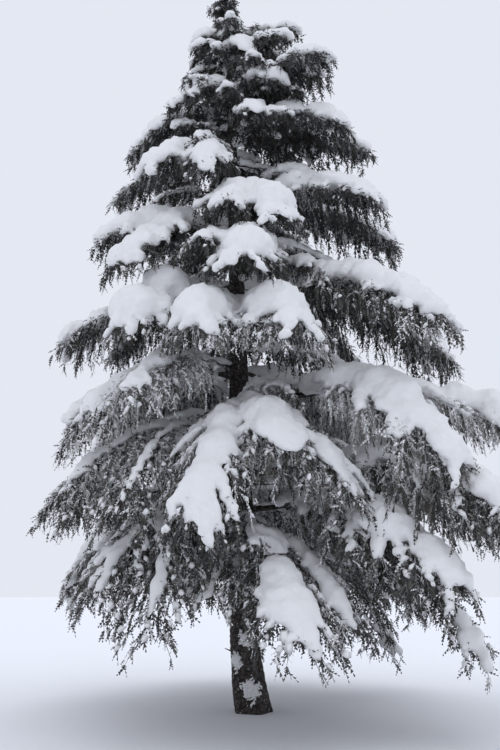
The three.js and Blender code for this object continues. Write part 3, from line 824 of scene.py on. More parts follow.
def spines(index):
    """The broad dark blade behind the shoots of each branchlet, with less rime as painted shade: start, way,
    length and grade of rime.
    """
    parts = branchlets(index)
    draw = chance("spines", index)
    whole = parts.end - parts.start
    full = np.linalg.norm(whole, axis=1)
    # Less rime here paints shade into the core of the spray.
    frosty = rime_at(parts.start[:, 2], parts.inner) - SPINE_PAINTED_SHADE
    shade = np.digitize(frosty + STREAKS * draw.normal(size=len(full)), RIME_GRADES)
    return parts.start, whole / full[:, None], full * SPINE_LENGTH, shade


def blades(start, heading, length, half_width, teeth, fold, draw):
    """Toothed blades folded along their middle: vertices, triangles, and how many triangles each has."""
    count = len(start)
    side = unit(np.cross(heading, unit(draw.normal(size=(count, 3)))))
    lift = np.cross(side, heading)
    tips = (np.arange(teeth) + TOOTH_FIRST) / (teeth + TOOTH_PAST)
    widths = np.interp(tips, BLADE_SHARES, BLADE_WIDTHS)

    def middle(x):
        return start + heading * (length * x)[:, None] - UP * (BLADE_SAG * length * x * x)[:, None]

    rows = [middle(x) for x in np.linspace(0, 1, teeth + 1)]
    for hand in (1.0, -1.0):
        for x, width in zip(tips, widths):
            rows.append(middle(x) + (side * hand + lift * fold) * (half_width * width)[:, None])
    vertices = np.stack(rows, axis=1)
    faces = []
    for hand in range(2):
        for k in range(teeth):
            tip = teeth + 1 + hand * teeth + k
            faces.append((k, k + 1, tip) if hand else (k + 1, k, tip))
    base = np.arange(count)[:, None, None] * vertices.shape[1]
    triangles = base + np.array(faces)[None]
    return vertices.reshape(-1, 3), triangles.reshape(-1, 3), len(faces)


def tube_faces(stations, sides):
    """Triangles of one tube with flat ends, whose rings have their vertices in order."""
    faces = []
    for i in range(stations - 1):
        for k in range(sides):
            a = i * sides + k
            b = i * sides + (k + 1) % sides
            faces += [(a, b, b + sides), (a, b + sides, a + sides)]
    last = (stations - 1) * sides
    for k in range(1, sides - 1):
        faces += [(0, k + 1, k), (last, last + k, last + k + 1)]
    return np.array(faces)


def tubes(points, radii, sides):
    """Many tapered tubes with equally many stations: vertices and triangles."""
    _, side, rise = frames(points)
    turn = np.arange(sides) * (2 * math.pi / sides)
    ring = rise[:, :, None] * np.cos(turn)[:, None] + side[:, :, None] * np.sin(turn)[:, None]
    vertices = points[:, :, None] + ring * radii[:, :, None, None]
    count, stations = points.shape[:2]
    base = np.arange(count)[:, None, None] * (stations * sides)
    triangles = base + tube_faces(stations, sides)[None]
    return vertices.reshape(-1, 3), triangles.reshape(-1, 3)


def joined(parts):
    """Several sets of vertices and triangles as one."""
    vertices = []
    triangles = []
    total = 0
    for some_vertices, some_triangles in parts:
        vertices.append(some_vertices)
        triangles.append(some_triangles + total)
        total += len(some_vertices)
    return np.concatenate(vertices), np.concatenate(triangles)


def make_mesh(name, vertices, triangles, smooth):
    """A mesh of triangles."""
    mesh = bpy.data.meshes.new(name)
    mesh.vertices.add(len(vertices))
    mesh.vertices.foreach_set("co", vertices.astype(np.float32).ravel())
    mesh.loops.add(len(triangles) * 3)
    mesh.loops.foreach_set("vertex_index", triangles.astype(np.int32).ravel())
    mesh.polygons.add(len(triangles))
    mesh.polygons.foreach_set("loop_start", np.arange(len(triangles), dtype=np.int32) * 3)
    mesh.polygons.foreach_set("use_smooth", np.full(len(triangles), smooth))
    mesh.update(calc_edges=True)
    return mesh


def add_piece(name, mesh, materials, nodes=()):
    """Puts a mesh in the scene as a piece that rides on the tree and stands for some nodes."""
    piece = bpy.data.objects.new(name, mesh)
    bpy.context.scene.collection.objects.link(piece)
    for material in materials:
        mesh.materials.append(material)
    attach(piece, "root")
    if nodes:
        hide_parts(*nodes)


def add_node(material, kind, settings=(), links=()):
    """Adds a shader node, sets its properties or inputs, and links its inputs to other nodes' outputs."""
    node = material.node_tree.nodes.new(kind)
    for key, value in dict(settings).items():
        if key in node.inputs:
            node.inputs[key].default_value = value
        else:
            setattr(node, key, value)
    for key, output in dict(links).items():
        material.node_tree.links.new(output, node.inputs[key])
    return node


def new_material(name):
    """An empty material with its Principled shader, and the object coordinates that its patterns use."""
    material = bpy.data.materials.new(name)
    material.use_nodes = True
    shader = material.node_tree.nodes["Principled BSDF"]
    place = add_node(material, "ShaderNodeTexCoord")
    return material, shader, place.outputs["Object"]


def blended(material, share, positions, colours):
    """A colour output that goes from one colour to another between two values of a share."""
    ramp = add_node(material, "ShaderNodeValToRGB", links={"Fac": share})
    for element, position, colour in zip(ramp.color_ramp.elements, positions, colours):
        element.position = position
        element.color = (*colour, 1)
    return ramp.outputs["Color"]


def speckled(material, place, size, low, high):
    """A colour output that wanders between two colours over patches of a real size."""
    patches = add_node(material, "ShaderNodeTexNoise", {"Scale": 1 / size, "Detail": 2.0}, {"Vector": place})
    return blended(material, patches.outputs["Fac"], SPECKLE_EDGES, (low, high))


@lru_cache(maxsize=None)
def needle_materials():
    """Waxy spruce needles, from sheltered green ones, whose darker copy is painted shade, to thickly rimed
    ones.

    The waxy ones keep a faint sheen, and rime turns them matt and pale. Their colour wanders over
    patches a little wider than a needle is long.
    """
    colours = bpy.context.scene.spruce_needles
    made = []
    for name, field, roughness in NEEDLE_GRADES:
        shade = getattr(colours, field)
        low = [SHADE_LOW * c for c in shade]
        high = [min(1.0, SHADE_HIGH * c) for c in shade]
        material, shader, place = new_material(name)
        colour = speckled(material, place, NEEDLE_PATCH, low, high)
        material.node_tree.links.new(colour, shader.inputs["Base Color"])
        shader.inputs["Roughness"].default_value = roughness
        made.append(material)
    return made


@lru_cache(maxsize=None)
def snow_material():
    """Fresh settled snow: matt white and soft, with faint hollows and a fine grain.

    Real grains are 1 to 2 mm wide, too fine to show from here, so the grain is drawn coarser.
    """
    material, shader, place = new_material("snow_fresh_settled")
    shader.inputs["Base Color"].default_value = (*bpy.context.scene.spruce_snow.colour, 1)
    shader.inputs["Roughness"].default_value = 0.75
    shader.inputs["Specular IOR Level"].default_value = 0.2
    normal = {}
    for size, detail, strength, depth in SNOW_BUMPS:
        pattern = add_node(material, "ShaderNodeTexNoise", {"Scale": 1 / size, "Detail": detail},
                           {"Vector": place})
        bump = add_node(material, "ShaderNodeBump", {"Strength": strength, "Distance": depth},
                        {"Height": pattern.outputs["Fac"], **normal})
        normal = {"Normal": bump.outputs["Normal"]}
    material.node_tree.links.new(bump.outputs["Normal"], shader.inputs["Normal"])
    return material


@lru_cache(maxsize=None)
def bark_material():
    """Spruce bark: thin round scales, grey-brown and rough, with snow blown into its cracks.

    Real scales are 10 to 20 mm wide, too fine to show from here, so they are drawn wider.
    """
    settings = bpy.context.scene.spruce_bark
    material, shader, place = new_material("bark_scaly_grey_brown")
    shader.inputs["Roughness"].default_value = 0.92
    shader.inputs["Specular IOR Level"].default_value = 0.3
    scales = add_node(material, "ShaderNodeTexVoronoi", {"Scale": 1 / settings.scale_size}, {"Vector": place})
    bare = blended(material, scales.outputs["Distance"], CRACK_EDGES, (settings.light, settings.dark))
    fleck = add_node(material, "ShaderNodeTexNoise", {"Scale": 1 / BARK_FLECK, "Detail": 3.0},
                     {"Vector": place})
    share = add_node(material, "ShaderNodeMapRange", {"From Min": FLECK_FROM, "From Max": FLECK_TO},
                     {"Value": fleck.outputs["Fac"]})
    colour = add_node(material, "ShaderNodeMix", {"data_type": "RGBA"})
    colour.inputs["B"].default_value = (*FLECK_COLOUR, 1)
    bump = add_node(material, "ShaderNodeBump", {"Strength": 0.6, "Distance": CRACK_DEPTH, "invert": True},
                    {"Height": scales.outputs["Distance"]})
    links = material.node_tree.links
    links.new(share.outputs["Result"], colour.inputs["Factor"])
    links.new(bare, colour.inputs["A"])
    links.new(colour.outputs["Result"], shader.inputs["Base Color"])
    links.new(bump.outputs["Normal"], shader.inputs["Normal"])
    return material


@lru_cache(maxsize=None)
def twig_material():
    """Thin spruce twigs: orange-brown bark under a grey film of rime, which lies in patches."""
    settings = bpy.context.scene.spruce_bark
    material, shader, place = new_material("twig_bark_rimed")
    colour = speckled(material, place, RIME_PATCH, settings.twig, settings.rime)
    material.node_tree.links.new(colour, shader.inputs["Base Color"])
    shader.inputs["Roughness"].default_value = 0.85
    return material


def bark_relief(point, size, depth):
    """How far the bark stands out at a point: scales that are longer than wide, on slow swells."""
    near = noise.voronoi(Vector((point[0] / size, point[1] / size, point[2] / (SCALE_SHAPE * size))))[0]
    crack = min(1.0, (near[1] - near[0]) * CRACK_SLOPE)
    swell = noise.noise(Vector(point * SWELL_RATES))
    return depth * (crack - 0.5) + SWELL_SHARE * depth * swell


def relieved(points, outward, size, depth):
    """Points moved along their outward ways by the bark's relief."""
    moves = np.array([bark_relief(point, size, depth) for point in points])
    return points + outward * moves[:, None]


def make_trunk():
    """The trunk with root lobes, bark relief and dead stubs, as one piece."""
    settings = bpy.context.scene.spruce_bark
    low = np.arange(0, LOW_TOP, LOW_STEP)
    high = np.arange(LOW_TOP, HEIGHT, HIGH_STEP)
    heights = np.concatenate([low, high, [HEIGHT]])
    turn = np.arange(BARK_SIDES) * (360 / BARK_SIDES)
    ways = np.array([level(a) for a in turn])
    points = []
    for z in heights:
        lobes = LOBE_DEPTH * math.exp(-z / LOBE_HEIGHT) * np.cos(np.radians(ROOT_LOBES * turn))
        points.append(on_trunk(z) + ways * (trunk_radius(z) * (1 + lobes))[:, None])
    points = np.concatenate(points)
    outward = np.tile(ways, (len(heights), 1))
    fade = np.repeat(np.minimum(1.0, [trunk_radius(z) / THICK_STEM for z in heights]), BARK_SIDES)
    moved = relieved(points, outward, settings.scale_size, settings.relief)
    points = points + (moved - points) * fade[:, None]
    parts = [(points, tube_faces(len(heights), BARK_SIDES)), knot_tubes()]
    mesh = make_mesh("trunk_bark", *joined(parts), True)
    add_piece("trunk_bark", mesh, [bark_material()], ["trunk"])


def knot_tubes():
    """Short dead stubs on the lower trunk, where the shade killed the first twigs."""
    draw = chance("knots")
    points = []
    for _ in range(KNOTS):
        z = draw.uniform(*KNOT_HEIGHTS)
        way = level(draw.uniform(0, 360))
        start = on_trunk(z) + way * (trunk_radius(z) - KNOT_DEPTH)
        reach = draw.uniform(*KNOT_REACHES)
        tip = start + way * reach + UP * draw.uniform(*KNOT_SLOPES) * reach
        points.append([start, (start + tip) / 2 - UP * KNOT_SAG, tip])
    return tubes(np.array(points), np.array([KNOT_RADII] * KNOTS), KNOT_SIDES)


def wood_paths(masses, swell, stations):
    """Paths and radii of the boughs or stems that carry some masses, from the trunk's axis to their forks."""
    t = np.linspace(0, 1, stations)
    points = []
    radii = []
    for _, root, bough, rows in masses:
        start = on_trunk(root * MM)
        fork = fork_of(root * MM, bough, rows)
        thick = LIMB_BASE + LIMB_SWELL * max(row[1] for row in rows) * MM
        points.append(start + (fork - start) * t[:, None])
        radii.append(thick * (1 + (swell - 1) * (1 - t) ** SWELL_POWER))
    return points, radii


def add_wood(name, points, radii, sides, bark, nodes=()):
    """Adds tubes as one piece, with the trunk's bark in a smaller size and relief."""
    settings = bpy.context.scene.spruce_bark
    points = np.array(points)
    vertices, triangles = tubes(points, np.array(radii), sides)
    outward = unit(vertices - np.repeat(points.reshape(-1, 3), sides, axis=0))
    vertices = relieved(vertices, outward, settings.scale_size * bark[0], settings.relief * bark[1])
    add_piece(name, make_mesh(name, vertices, triangles, True), [bark_material()], nodes)


def make_boughs():
    """The main boughs, as one piece."""
    masses = [mass for mass in FRONT_MASSES if mass[2]]
    points, radii = wood_paths(masses, BOUGH_SWELL, BOUGH_STATIONS)
    add_wood("boughs_bark", points, radii, BOUGH_SIDES, BOUGH_BARK, [f"bough_{mass[0]}" for mass in masses])


def make_limbs():
    """The limbs, and the stems of the masses that no bough carries, as one piece."""
    masses = [mass for mass in FRONT_MASSES + rear_masses() if not mass[2]]
    points, radii = wood_paths(masses, STEM_SWELL, (LIMB_STATIONS - 1) // WOOD_STEP + 1)
    for limb in limbs():
        points.append(limb.points[::WOOD_STEP])
        radii.append(limb.radii[::WOOD_STEP])
    add_wood("limbs_bark", points, radii, LIMB_SIDES, LIMB_BARK)


def make_twigs():
    """Side twigs, and the thin bare wood of some branchlets."""
    parts = []
    u = np.linspace(0, 1, TWIG_STATIONS)
    s = np.linspace(0, BARE_END, TWIG_STATIONS)
    for limb in limbs():
        twigs = side_twigs(limb.index)
        points = np.stack([twig_at(twigs, np.full(len(twigs.length), value)) for value in u], axis=1)
        radii = (TWIG_RADIUS + TWIG_SWELL * twigs.length)[:, None] * (TWIG_TAPER[0] - TWIG_TAPER[1] * u)
        parts.append(tubes(points, radii, TWIG_SIDES))
        bare = picked(branchlets(limb.index), slice(0, None, BARE_EVERY))
        count = len(bare.length)
        points = np.stack([hang_at(bare, np.full(count, value)) for value in s], axis=1)
        radii = np.tile(BARE_RADIUS * (BARE_TAPER[0] - BARE_TAPER[1] * s), (count, 1))
        parts.append(tubes(points, radii, TWIG_SIDES))
    add_piece("twigs_rimed", make_mesh("twigs_rimed", *joined(parts), False), [twig_material()])


def make_needles(tier):
    """The needled shoots of one tier, each with its grade of rime, and the dark spines behind them, whose
    lower grade is painted shade.
    """
    settings = bpy.context.scene.spruce_needles
    parts = []
    shades = []
    indices = [limb.index for limb in tier_limbs(tier)]
    if tier == LEADER_TIER:
        indices.append(LEADER)
    for index in indices:
        draw = chance("blades", index)
        teeth = INNER_TEETH if sheltered(index) else SHOOT_TEETH
        start, heading, length, shade = shoots(index, settings)
        width = length * (settings.half_width / settings.length)
        vertices, triangles, each = blades(start, heading, length, width, teeth, FOLD, draw)
        parts.append((vertices, triangles))
        shades.append(np.repeat(shade, each))
        # The spines, darker than the shoots as painted shade.
        start, heading, length, shade = spines(index)
        width = np.interp(start[:, 2], SHOOT_HEIGHTS, SPINE_WIDTHS)
        vertices, triangles, each = blades(start, heading, length, width, SPINE_TEETH, SPINE_FOLD, draw)
        parts.append((vertices, triangles))
        shades.append(np.repeat(shade, each))
    mesh = make_mesh(f"needles_{tier}", *joined(parts), False)
    add_piece(f"needles_{tier}", mesh, needle_materials(), tier_nodes(tier, False))
    mesh.polygons.foreach_set("material_index", np.concatenate(shades).astype(np.int32))


def wander(limb, shares, wave, side=0.0):
    """Slow noise along a limb, from its own row for each use and, if asked, for each side."""
    size, row = SNOW_WAVES[wave]
    places = shares * limb.length + side
    return np.array([noise.noise(Vector((limb.index * LIMB_ROW, place / size, row))) for place in places])


def axes_of(way, side, rise, ahead, across, over):
    """The half axes of lumps along three ways."""
    return np.stack([way * ahead[:, None], side * across[:, None], rise * over[:, None]], axis=1)


def limb_lumps(limb, thickness):
    """Lumps of snow along a limb: centres and half axes."""
    count = max(3, int(limb.length * (SNOW_END - SNOW_START) / SNOW_STEP))
    shares = np.linspace(SNOW_START, SNOW_END, count)
    point, way, side, rise, radius = along(limb, shares)
    swell = wander(limb, shares, "width")
    wide = min(SNOW_WIDTH * limb.reach, SNOW_WIDEST)
    half = SNOW_BASE + wide * np.interp(shares, SNOW_SHARES, SNOW_SIZES)
    half = half * (1 + WIDTH_SWING * swell) * limb.snow
    height = thickness * half * (1 + HEIGHT_SWING * wander(limb, shares, "height"))
    height *= np.maximum(SNOW_ON_STEEP, rise[:, 2])
    shift = SHIFT_SWING * half * wander(limb, shares, "shift")
    centre = point + rise * (radius + SNOW_LIFT * height)[:, None] + side * shift[:, None]
    axes = axes_of(way, side, rise, LUMP_LENGTH[0] + LUMP_LENGTH[1] * half, half, height)
    kept = swell > SNOW_BREAK
    return centre[kept], axes[kept]


def twig_cover(limb):
    """How much of each side twig its snow covers, and how thick it lies, much like its neighbours'."""
    draw = chance("twig cover", limb.index)
    twigs = side_twigs(limb.index)
    count = len(twigs.length)
    covered = draw.uniform(*TWIG_SNOW_ENDS, count)
    waves = wander(limb, twigs.share, "twigs", OTHER_SIDE * (np.arange(count) % 2))
    full = TWIG_SNOW_MEAN + TWIG_SNOW_SWAY * waves
    full += TWIG_SNOW_GAIN * (limb.snow - SNOW_USUAL) + draw.uniform(-TWIG_SNOW_PLAY, TWIG_SNOW_PLAY, count)
    return covered, np.clip(full, 0, TWIG_SNOW_MOST)


def twig_lumps(limb):
    """Lumps of snow along the side twigs, which together make a sheet: centres and half axes."""
    twigs = side_twigs(limb.index)
    draw = chance("twig snow", limb.index)
    covered, full = twig_cover(limb)
    counts = np.maximum(2, (twigs.length * covered / TWIG_SNOW_STEP).astype(int))
    rows, turns = repeat_rows(counts)
    u = covered[rows] * (turns + 0.5) / counts[rows]
    carriers = picked(twigs, rows)
    centre = twig_at(carriers, u)
    way = twig_way(carriers, u)
    side = unit(np.cross(way, UP))
    rise = np.cross(side, way)
    size = (TWIG_SNOW[0] + (TWIG_SNOW[1] - TWIG_SNOW[0]) * u) * full[rows]
    size = size * draw.uniform(*TWIG_LUMP_PLAY, len(rows))
    size *= min(1.0, TWIG_SNOW_REACH[0] + TWIG_SNOW_REACH[1] * limb.reach)
    centre = centre + rise * (TWIG_LUMP_LIFT * size)[:, None]
    axes = axes_of(way, side, rise, TWIG_LUMP_AXES[0] * size, size, TWIG_LUMP_AXES[1] * size)
    kept = size > TWIG_SNOW_LEAST
    return centre[kept], axes[kept]


def at_edge(limb):
    """Which branchlets of a limb start at the edge of its snow, where that is thick."""
    parts = branchlets(limb.index)
    covered, full = twig_cover(limb)
    covered = np.where(parts.twig < 0, SNOW_END, covered[parts.twig])
    thick = np.where(parts.twig < 0, limb.snow, full[parts.twig])
    return (parts.edge < covered) & (parts.edge > covered - FINGER_BAND) & (thick > FINGER_FULL)


def finger_lumps(limb):
    """Lumps of snow down the first part of the branchlets at the edge of the snow, which make it ragged."""
    parts = branchlets(limb.index)
    draw = chance("fingers", limb.index)
    luck = draw.uniform(0, 1, len(parts.length))
    chosen = np.flatnonzero(at_edge(limb) & (luck < FINGER_SHARE))
    reach = draw.uniform(*FINGER_REACHES, len(chosen)) * FINGER_LENGTH
    counts = np.maximum(2, (parts.length[chosen] * reach / FINGER_SIZES[1]).astype(int))
    rows, turns = repeat_rows(counts)
    s = reach[rows] * (turns + FINGER_PLACE) / counts[rows]
    hung = picked(parts, chosen[rows])
    centre = hang_at(hung, s)
    way = hang_way(hung, s)
    side = unit(np.cross(way, NEARLY_UP))
    rise = np.cross(side, way)
    size = FINGER_SIZES[1] + (FINGER_SIZES[0] - FINGER_SIZES[1]) * s / reach[rows]
    size = size * draw.uniform(*FINGER_PLAY, len(rows))
    axes = axes_of(way, side, rise, FINGER_AXES[0] * size, size, FINGER_AXES[1] * size)
    return centre + rise * (FINGER_LIFT * size)[:, None], axes


@lru_cache(maxsize=None)
def ball():
    """A round lump of 80 faces, flatter below and with sagging sides, as vertices and triangles."""
    mesh = bpy.data.meshes.new("ball")
    made = bmesh.new()
    bmesh.ops.create_icosphere(made, subdivisions=2, radius=1.0)
    made.to_mesh(mesh)
    made.free()
    vertices = np.array([v.co for v in mesh.vertices])
    triangles = np.array([p.vertices for p in mesh.polygons])
    vertices[:, 2] = np.where(vertices[:, 2] < 0, BALL_UNDER * vertices[:, 2], vertices[:, 2])
    vertices[:, 2] -= BALL_SAG * vertices[:, 1] ** 2
    bpy.data.meshes.remove(mesh)
    return vertices, triangles


def placed_balls(centre, axes):
    """A lump at each centre, stretched along its half axes: vertices and triangles."""
    vertices, triangles = ball()
    placed = centre[:, None] + np.einsum("vk,nkx->nvx", vertices, axes)
    base = np.arange(len(centre))[:, None, None] * len(vertices)
    return placed.reshape(-1, 3), (base + triangles[None]).reshape(-1, 3)


@lru_cache(maxsize=None)
def lump_pattern(size):
    """Cloudy noise that roughens the pillows."""
    pattern = bpy.data.textures.new("lumps", "CLOUDS")
    pattern.noise_scale = size
    pattern.noise_depth = 1
    return pattern


def melted(parts, settings):
    """Lumps run together into one soft skin, as a mesh."""
    rough = bpy.data.objects.new("rough", make_mesh("rough", *joined(parts), True))
    bpy.context.scene.collection.objects.link(rough)
    steps = [
        ("REMESH", {"mode": "VOXEL", "voxel_size": settings.voxel}),
        ("SMOOTH", {"factor": SOFTENING_FACTOR, "iterations": settings.softening}),
        ("DISPLACE", {"texture": lump_pattern(settings.lump_size), "texture_coords": "LOCAL",
                      "strength": settings.lump_height}),
        ("DECIMATE", {"ratio": settings.kept}),
    ]
    for kind, values in steps:
        modifier = rough.modifiers.new(kind.lower(), kind)
        for key, value in values.items():
            setattr(modifier, key, value)
    mesh = bpy.data.meshes.new_from_object(rough.evaluated_get(bpy.context.evaluated_depsgraph_get()))
    bpy.data.objects.remove(rough)
    # Thinning can leave a face twice, which validate drops.
    mesh.validate()
    return mesh


def make_snow(tier):
    """The snow of one tier: lumps melted into pillows with fingers."""
    settings = bpy.context.scene.spruce_snow
    parts = []
    for limb in tier_limbs(tier):
        parts.append(placed_balls(*limb_lumps(limb, settings.thickness)))
        parts.append(placed_balls(*twig_lumps(limb)))
        parts.append(placed_balls(*finger_lumps(limb)))
    mesh = melted(parts, settings)
    mesh.name = f"snow_{tier}"
    mesh.polygons.foreach_set("use_smooth", np.full(len(mesh.polygons), True))
    points = np.empty(len(mesh.vertices) * 3)
    mesh.vertices.foreach_get("co", points)
    points = points.reshape(-1, 3)
    points[:, 2] = np.maximum(points[:, 2], LOWEST)
    mesh.vertices.foreach_set("co", points.ravel())
    add_piece(f"snow_{tier}_pillows", mesh, [snow_material()], tier_nodes(tier, True))


def scattered_clumps(limb, parts, draw):
    """Small clumps of snow here and there along the branchlets of a limb: centres, sizes and ways."""
    count = int(len(parts.length) * CLUMP_SHARE)
    hung = picked(parts, draw.integers(0, len(parts.length), count))
    s = draw.uniform(*CLUMP_PLACES, count)
    centre = hang_at(hung, s)
    way = unit(hang_way(hung, s) + CLUMP_TURN * draw.normal(size=(count, 3)))
    size = draw.uniform(*CLUMP_SIZES, count) * (CLUMP_TAPER[0] - CLUMP_TAPER[1] * s)
    size *= np.interp(centre[:, 2], CLUMP_HEIGHTS, CLUMP_GROWTH)
    luck = (1 - hung.inner) * np.interp(centre[:, 2], CLUMP_HEIGHTS, CLUMP_CHANCE)
    kept = draw.uniform(0, 1, count) < luck
    return centre[kept], size[kept], way[kept]


def rim_clumps(limb, parts, draw):
    """Lobes of clumps at the edge of a limb's snow, which fray it: centres, sizes and ways."""
    rim = np.flatnonzero(at_edge(limb) & (draw.uniform(0, 1, len(parts.length)) < RIM_CHANCE))
    steps = np.tile((np.arange(RIM_CLUMPS) + 0.5) / RIM_CLUMPS, len(rim))
    far = steps * np.repeat(draw.uniform(*RIM_REACHES, len(rim)), RIM_CLUMPS)
    hung = picked(parts, np.repeat(rim, RIM_CLUMPS))
    way = unit(hang_way(hung, far * RIM_SPAN) + RIM_TURN * draw.normal(size=(len(far), 3)))
    size = RIM_SIZES[1] + (RIM_SIZES[0] - RIM_SIZES[1]) * far
    return hang_at(hung, far * RIM_SPAN), size * draw.uniform(*RIM_PLAY, len(far)), way


def clump_places():
    """Where small clumps of snow lie on the branchlets: centres, sizes and ways."""
    found = []
    for limb in limbs():
        parts = branchlets(limb.index)
        draw = chance("clumps", limb.index)
        found.append(scattered_clumps(limb, parts, draw))
        found.append(rim_clumps(limb, parts, draw))
    return [np.concatenate(values) for values in zip(*found)]


def patch_places():
    """Small clumps that make up the snow stuck to the trunk: centres, sizes and ways."""
    draw = chance("patches")
    centres = []
    for azimuth, height, half, tall in PATCHES:
        for _ in range(PATCH_LUMPS):
            turn = azimuth + math.degrees(half / STEM_RADIUS) * draw.normal() * PATCH_SPREAD
            z = max(PATCH_LOWEST, height + tall * draw.normal() * PATCH_SPREAD)
            centres.append(on_trunk(z) + level(turn) * (trunk_radius(z) + PATCH_GAP))
    count = len(centres)
    return np.array(centres), draw.uniform(*PATCH_SIZES, count), unit(draw.normal(size=(count, 3)))


def make_clumps():
    """Small clumps of snow caught among the shoots and on the trunk, as one piece."""
    centre, size, way = (np.concatenate(pair) for pair in zip(clump_places(), patch_places()))
    draw = chance("clump shapes")
    count = len(centre)
    side = unit(np.cross(way, UP))
    rise = np.cross(side, way)
    centre = centre + rise * (CLUMP_LIFT * size)[:, None]
    ahead, across, over, under = CLUMP_AXES
    turns = np.arange(CLUMP_RING) * (2 * math.pi / CLUMP_RING)
    points = [way * (ahead * math.cos(turn)) - side * (across * math.sin(turn)) for turn in turns]
    points += [rise * over, -rise * under]
    corners = [centre + point * (size * draw.uniform(*CLUMP_PLAY, count))[:, None] for point in points]
    pairs = [(k, (k + 1) % CLUMP_RING) for k in range(CLUMP_RING)]
    faces = [(a, b, CLUMP_RING) for a, b in pairs] + [(b, a, CLUMP_RING + 1) for a, b in pairs]
    vertices = np.stack(corners, axis=1).reshape(-1, 3)
    vertices[:, 2] = np.maximum(vertices[:, 2], CLUMP_LOWEST)
    triangles = (np.arange(count)[:, None, None] * len(corners) + np.array(faces)[None]).reshape(-1, 3)
    mesh = make_mesh("snow_clumps", vertices, triangles, True)
    add_piece("snow_clumps", mesh, [snow_material()])


def make_floor(settings):
    """A plain pale level floor."""
    corners = FLOOR_HALF * np.array([(-1.0, -1.0, 0.0), (1.0, -1.0, 0.0), (1.0, 1.0, 0.0), (-1.0, 1.0, 0.0)])
    mesh = make_mesh("floor", corners, np.array([(0, 1, 2), (0, 2, 3)]), False)
    floor = bpy.data.objects.new("floor", mesh)
    bpy.context.scene.collection.objects.link(floor)
    material, shader, _ = new_material("floor_matt_pale")
    shader.inputs["Base Color"].default_value = (*settings.floor, 1)
    shader.inputs["Roughness"].default_value = 0.9
    mesh.materials.append(material)


def make_light(settings):
    """An even overcast light, which is brighter overhead, as under thin cloud."""
    world = bpy.data.worlds.new("overcast")
    bpy.context.scene.world = world
    world.use_nodes = True
    background = world.node_tree.nodes["Background"]
    place = add_node(world, "ShaderNodeTexCoord")
    split = add_node(world, "ShaderNodeSeparateXYZ", links={"Vector": place.outputs["Generated"]})
    heights = {"From Min": ZENITH_FROM, "From Max": ZENITH_TO, "To Min": 1.0, "To Max": settings.zenith}
    zenith = add_node(world, "ShaderNodeMapRange", heights, {"Value": split.outputs["Z"]})
    background.inputs["Color"].default_value = (*settings.sky, 1)
    world.node_tree.links.new(zenith.outputs["Result"], background.inputs["Strength"])


def make_camera(settings):
    """The camera at the photographed angle, with the colours shown as they are."""
    data = bpy.data.cameras.new("camera")
    data.sensor_width = SENSOR
    data.lens = settings.lens
    data.clip_end = FARTHEST
    camera = bpy.data.objects.new("camera", data)
    camera.location = (*CAMERA_PLACE, settings.eye)
    camera.rotation_euler = (math.radians(90 + settings.tilt), 0.0, 0.0)
    bpy.context.scene.collection.objects.link(camera)
    bpy.context.scene.camera = camera
    bpy.context.scene.view_settings.view_transform = "Standard"


def make_stage():
    """The floor, the light and the camera."""
    settings = bpy.context.scene.spruce_stage
    make_floor(settings)
    make_light(settings)
    make_camera(settings)


class SpruceBark(bpy.types.PropertyGroup):
    light: FloatVectorProperty(name="Scales", description="Colour of the faces of the bark scales",
                               default=linear("#57504c"), subtype="COLOR", min=0, max=1)
    dark: FloatVectorProperty(name="Cracks", description="Colour between the bark scales",
                              default=linear("#2a2624"), subtype="COLOR", min=0, max=1)
    twig: FloatVectorProperty(name="Twigs", description="Colour of thin twigs",
                              default=linear("#4a3b33"), subtype="COLOR", min=0, max=1)
    rime: FloatVectorProperty(name="Rimed twigs", description="Colour of rime on thin twigs",
                              default=linear("#9ea3a8"), subtype="COLOR", min=0, max=1)
    scale_size: FloatProperty(name="Scale size", description="Width of one bark scale",
                              default=0.045, unit="LENGTH")
    relief: FloatProperty(name="Relief", description="How far the scales stand out",
                          default=0.009, unit="LENGTH")


class SpruceNeedles(bpy.types.PropertyGroup):
    length: FloatProperty(name="Shoot length", description="Length of one needled shoot",
                          default=0.088, unit="LENGTH")
    half_width: FloatProperty(name="Half width", description="Half the width of one needled shoot",
                              default=0.017, unit="LENGTH")
    spacing: FloatProperty(name="Shoot spacing", description="Distance between shoots on a branchlet",
                           default=0.046, unit="LENGTH")
    # A darker copy of the bare needles' colour, which paints shade in the sprays where little rime lies.
    shaded: FloatVectorProperty(name="Sheltered", description="Needles that no snow reaches",
                                default=linear("#2d2c29"), subtype="COLOR", min=0, max=1)
    green: FloatVectorProperty(name="Green", description="Bare needles",
                               default=linear("#41403b"), subtype="COLOR", min=0, max=1)
    grey: FloatVectorProperty(name="Thin rime", description="Needles with a film of rime",
                              default=linear("#62605b"), subtype="COLOR", min=0, max=1)
    rimed: FloatVectorProperty(name="Thick rime", description="Needles white with rime",
                               default=linear("#979592"), subtype="COLOR", min=0, max=1)
    white: FloatVectorProperty(name="Snow-dusted", description="Needles under loose snow",
                               default=linear("#dcdcdc"), subtype="COLOR", min=0, max=1)


class SpruceSnow(bpy.types.PropertyGroup):
    colour: FloatVectorProperty(name="Snow", description="Colour of the snow",
                                default=linear("#ebebeb"), subtype="COLOR", min=0, max=1)
    thickness: FloatProperty(name="Thickness", description="Height of a pillow for each unit of half width",
                             default=SNOW_THICKNESS)
    voxel: FloatProperty(name="Melting size", description="Lumps nearer than this run together",
                         default=0.025, unit="LENGTH")
    softening: IntProperty(name="Softening", description="Rounds of smoothing", default=2)
    lump_size: FloatProperty(name="Lump size", description="Width of the lumps on a pillow",
                             default=0.11, unit="LENGTH")
    lump_height: FloatProperty(name="Lump height", description="How far they stand out",
                               default=0.08, unit="LENGTH")
    kept: FloatProperty(name="Faces kept", description="Share of the faces kept at the end",
                        default=0.125, subtype="FACTOR", min=0, max=1)


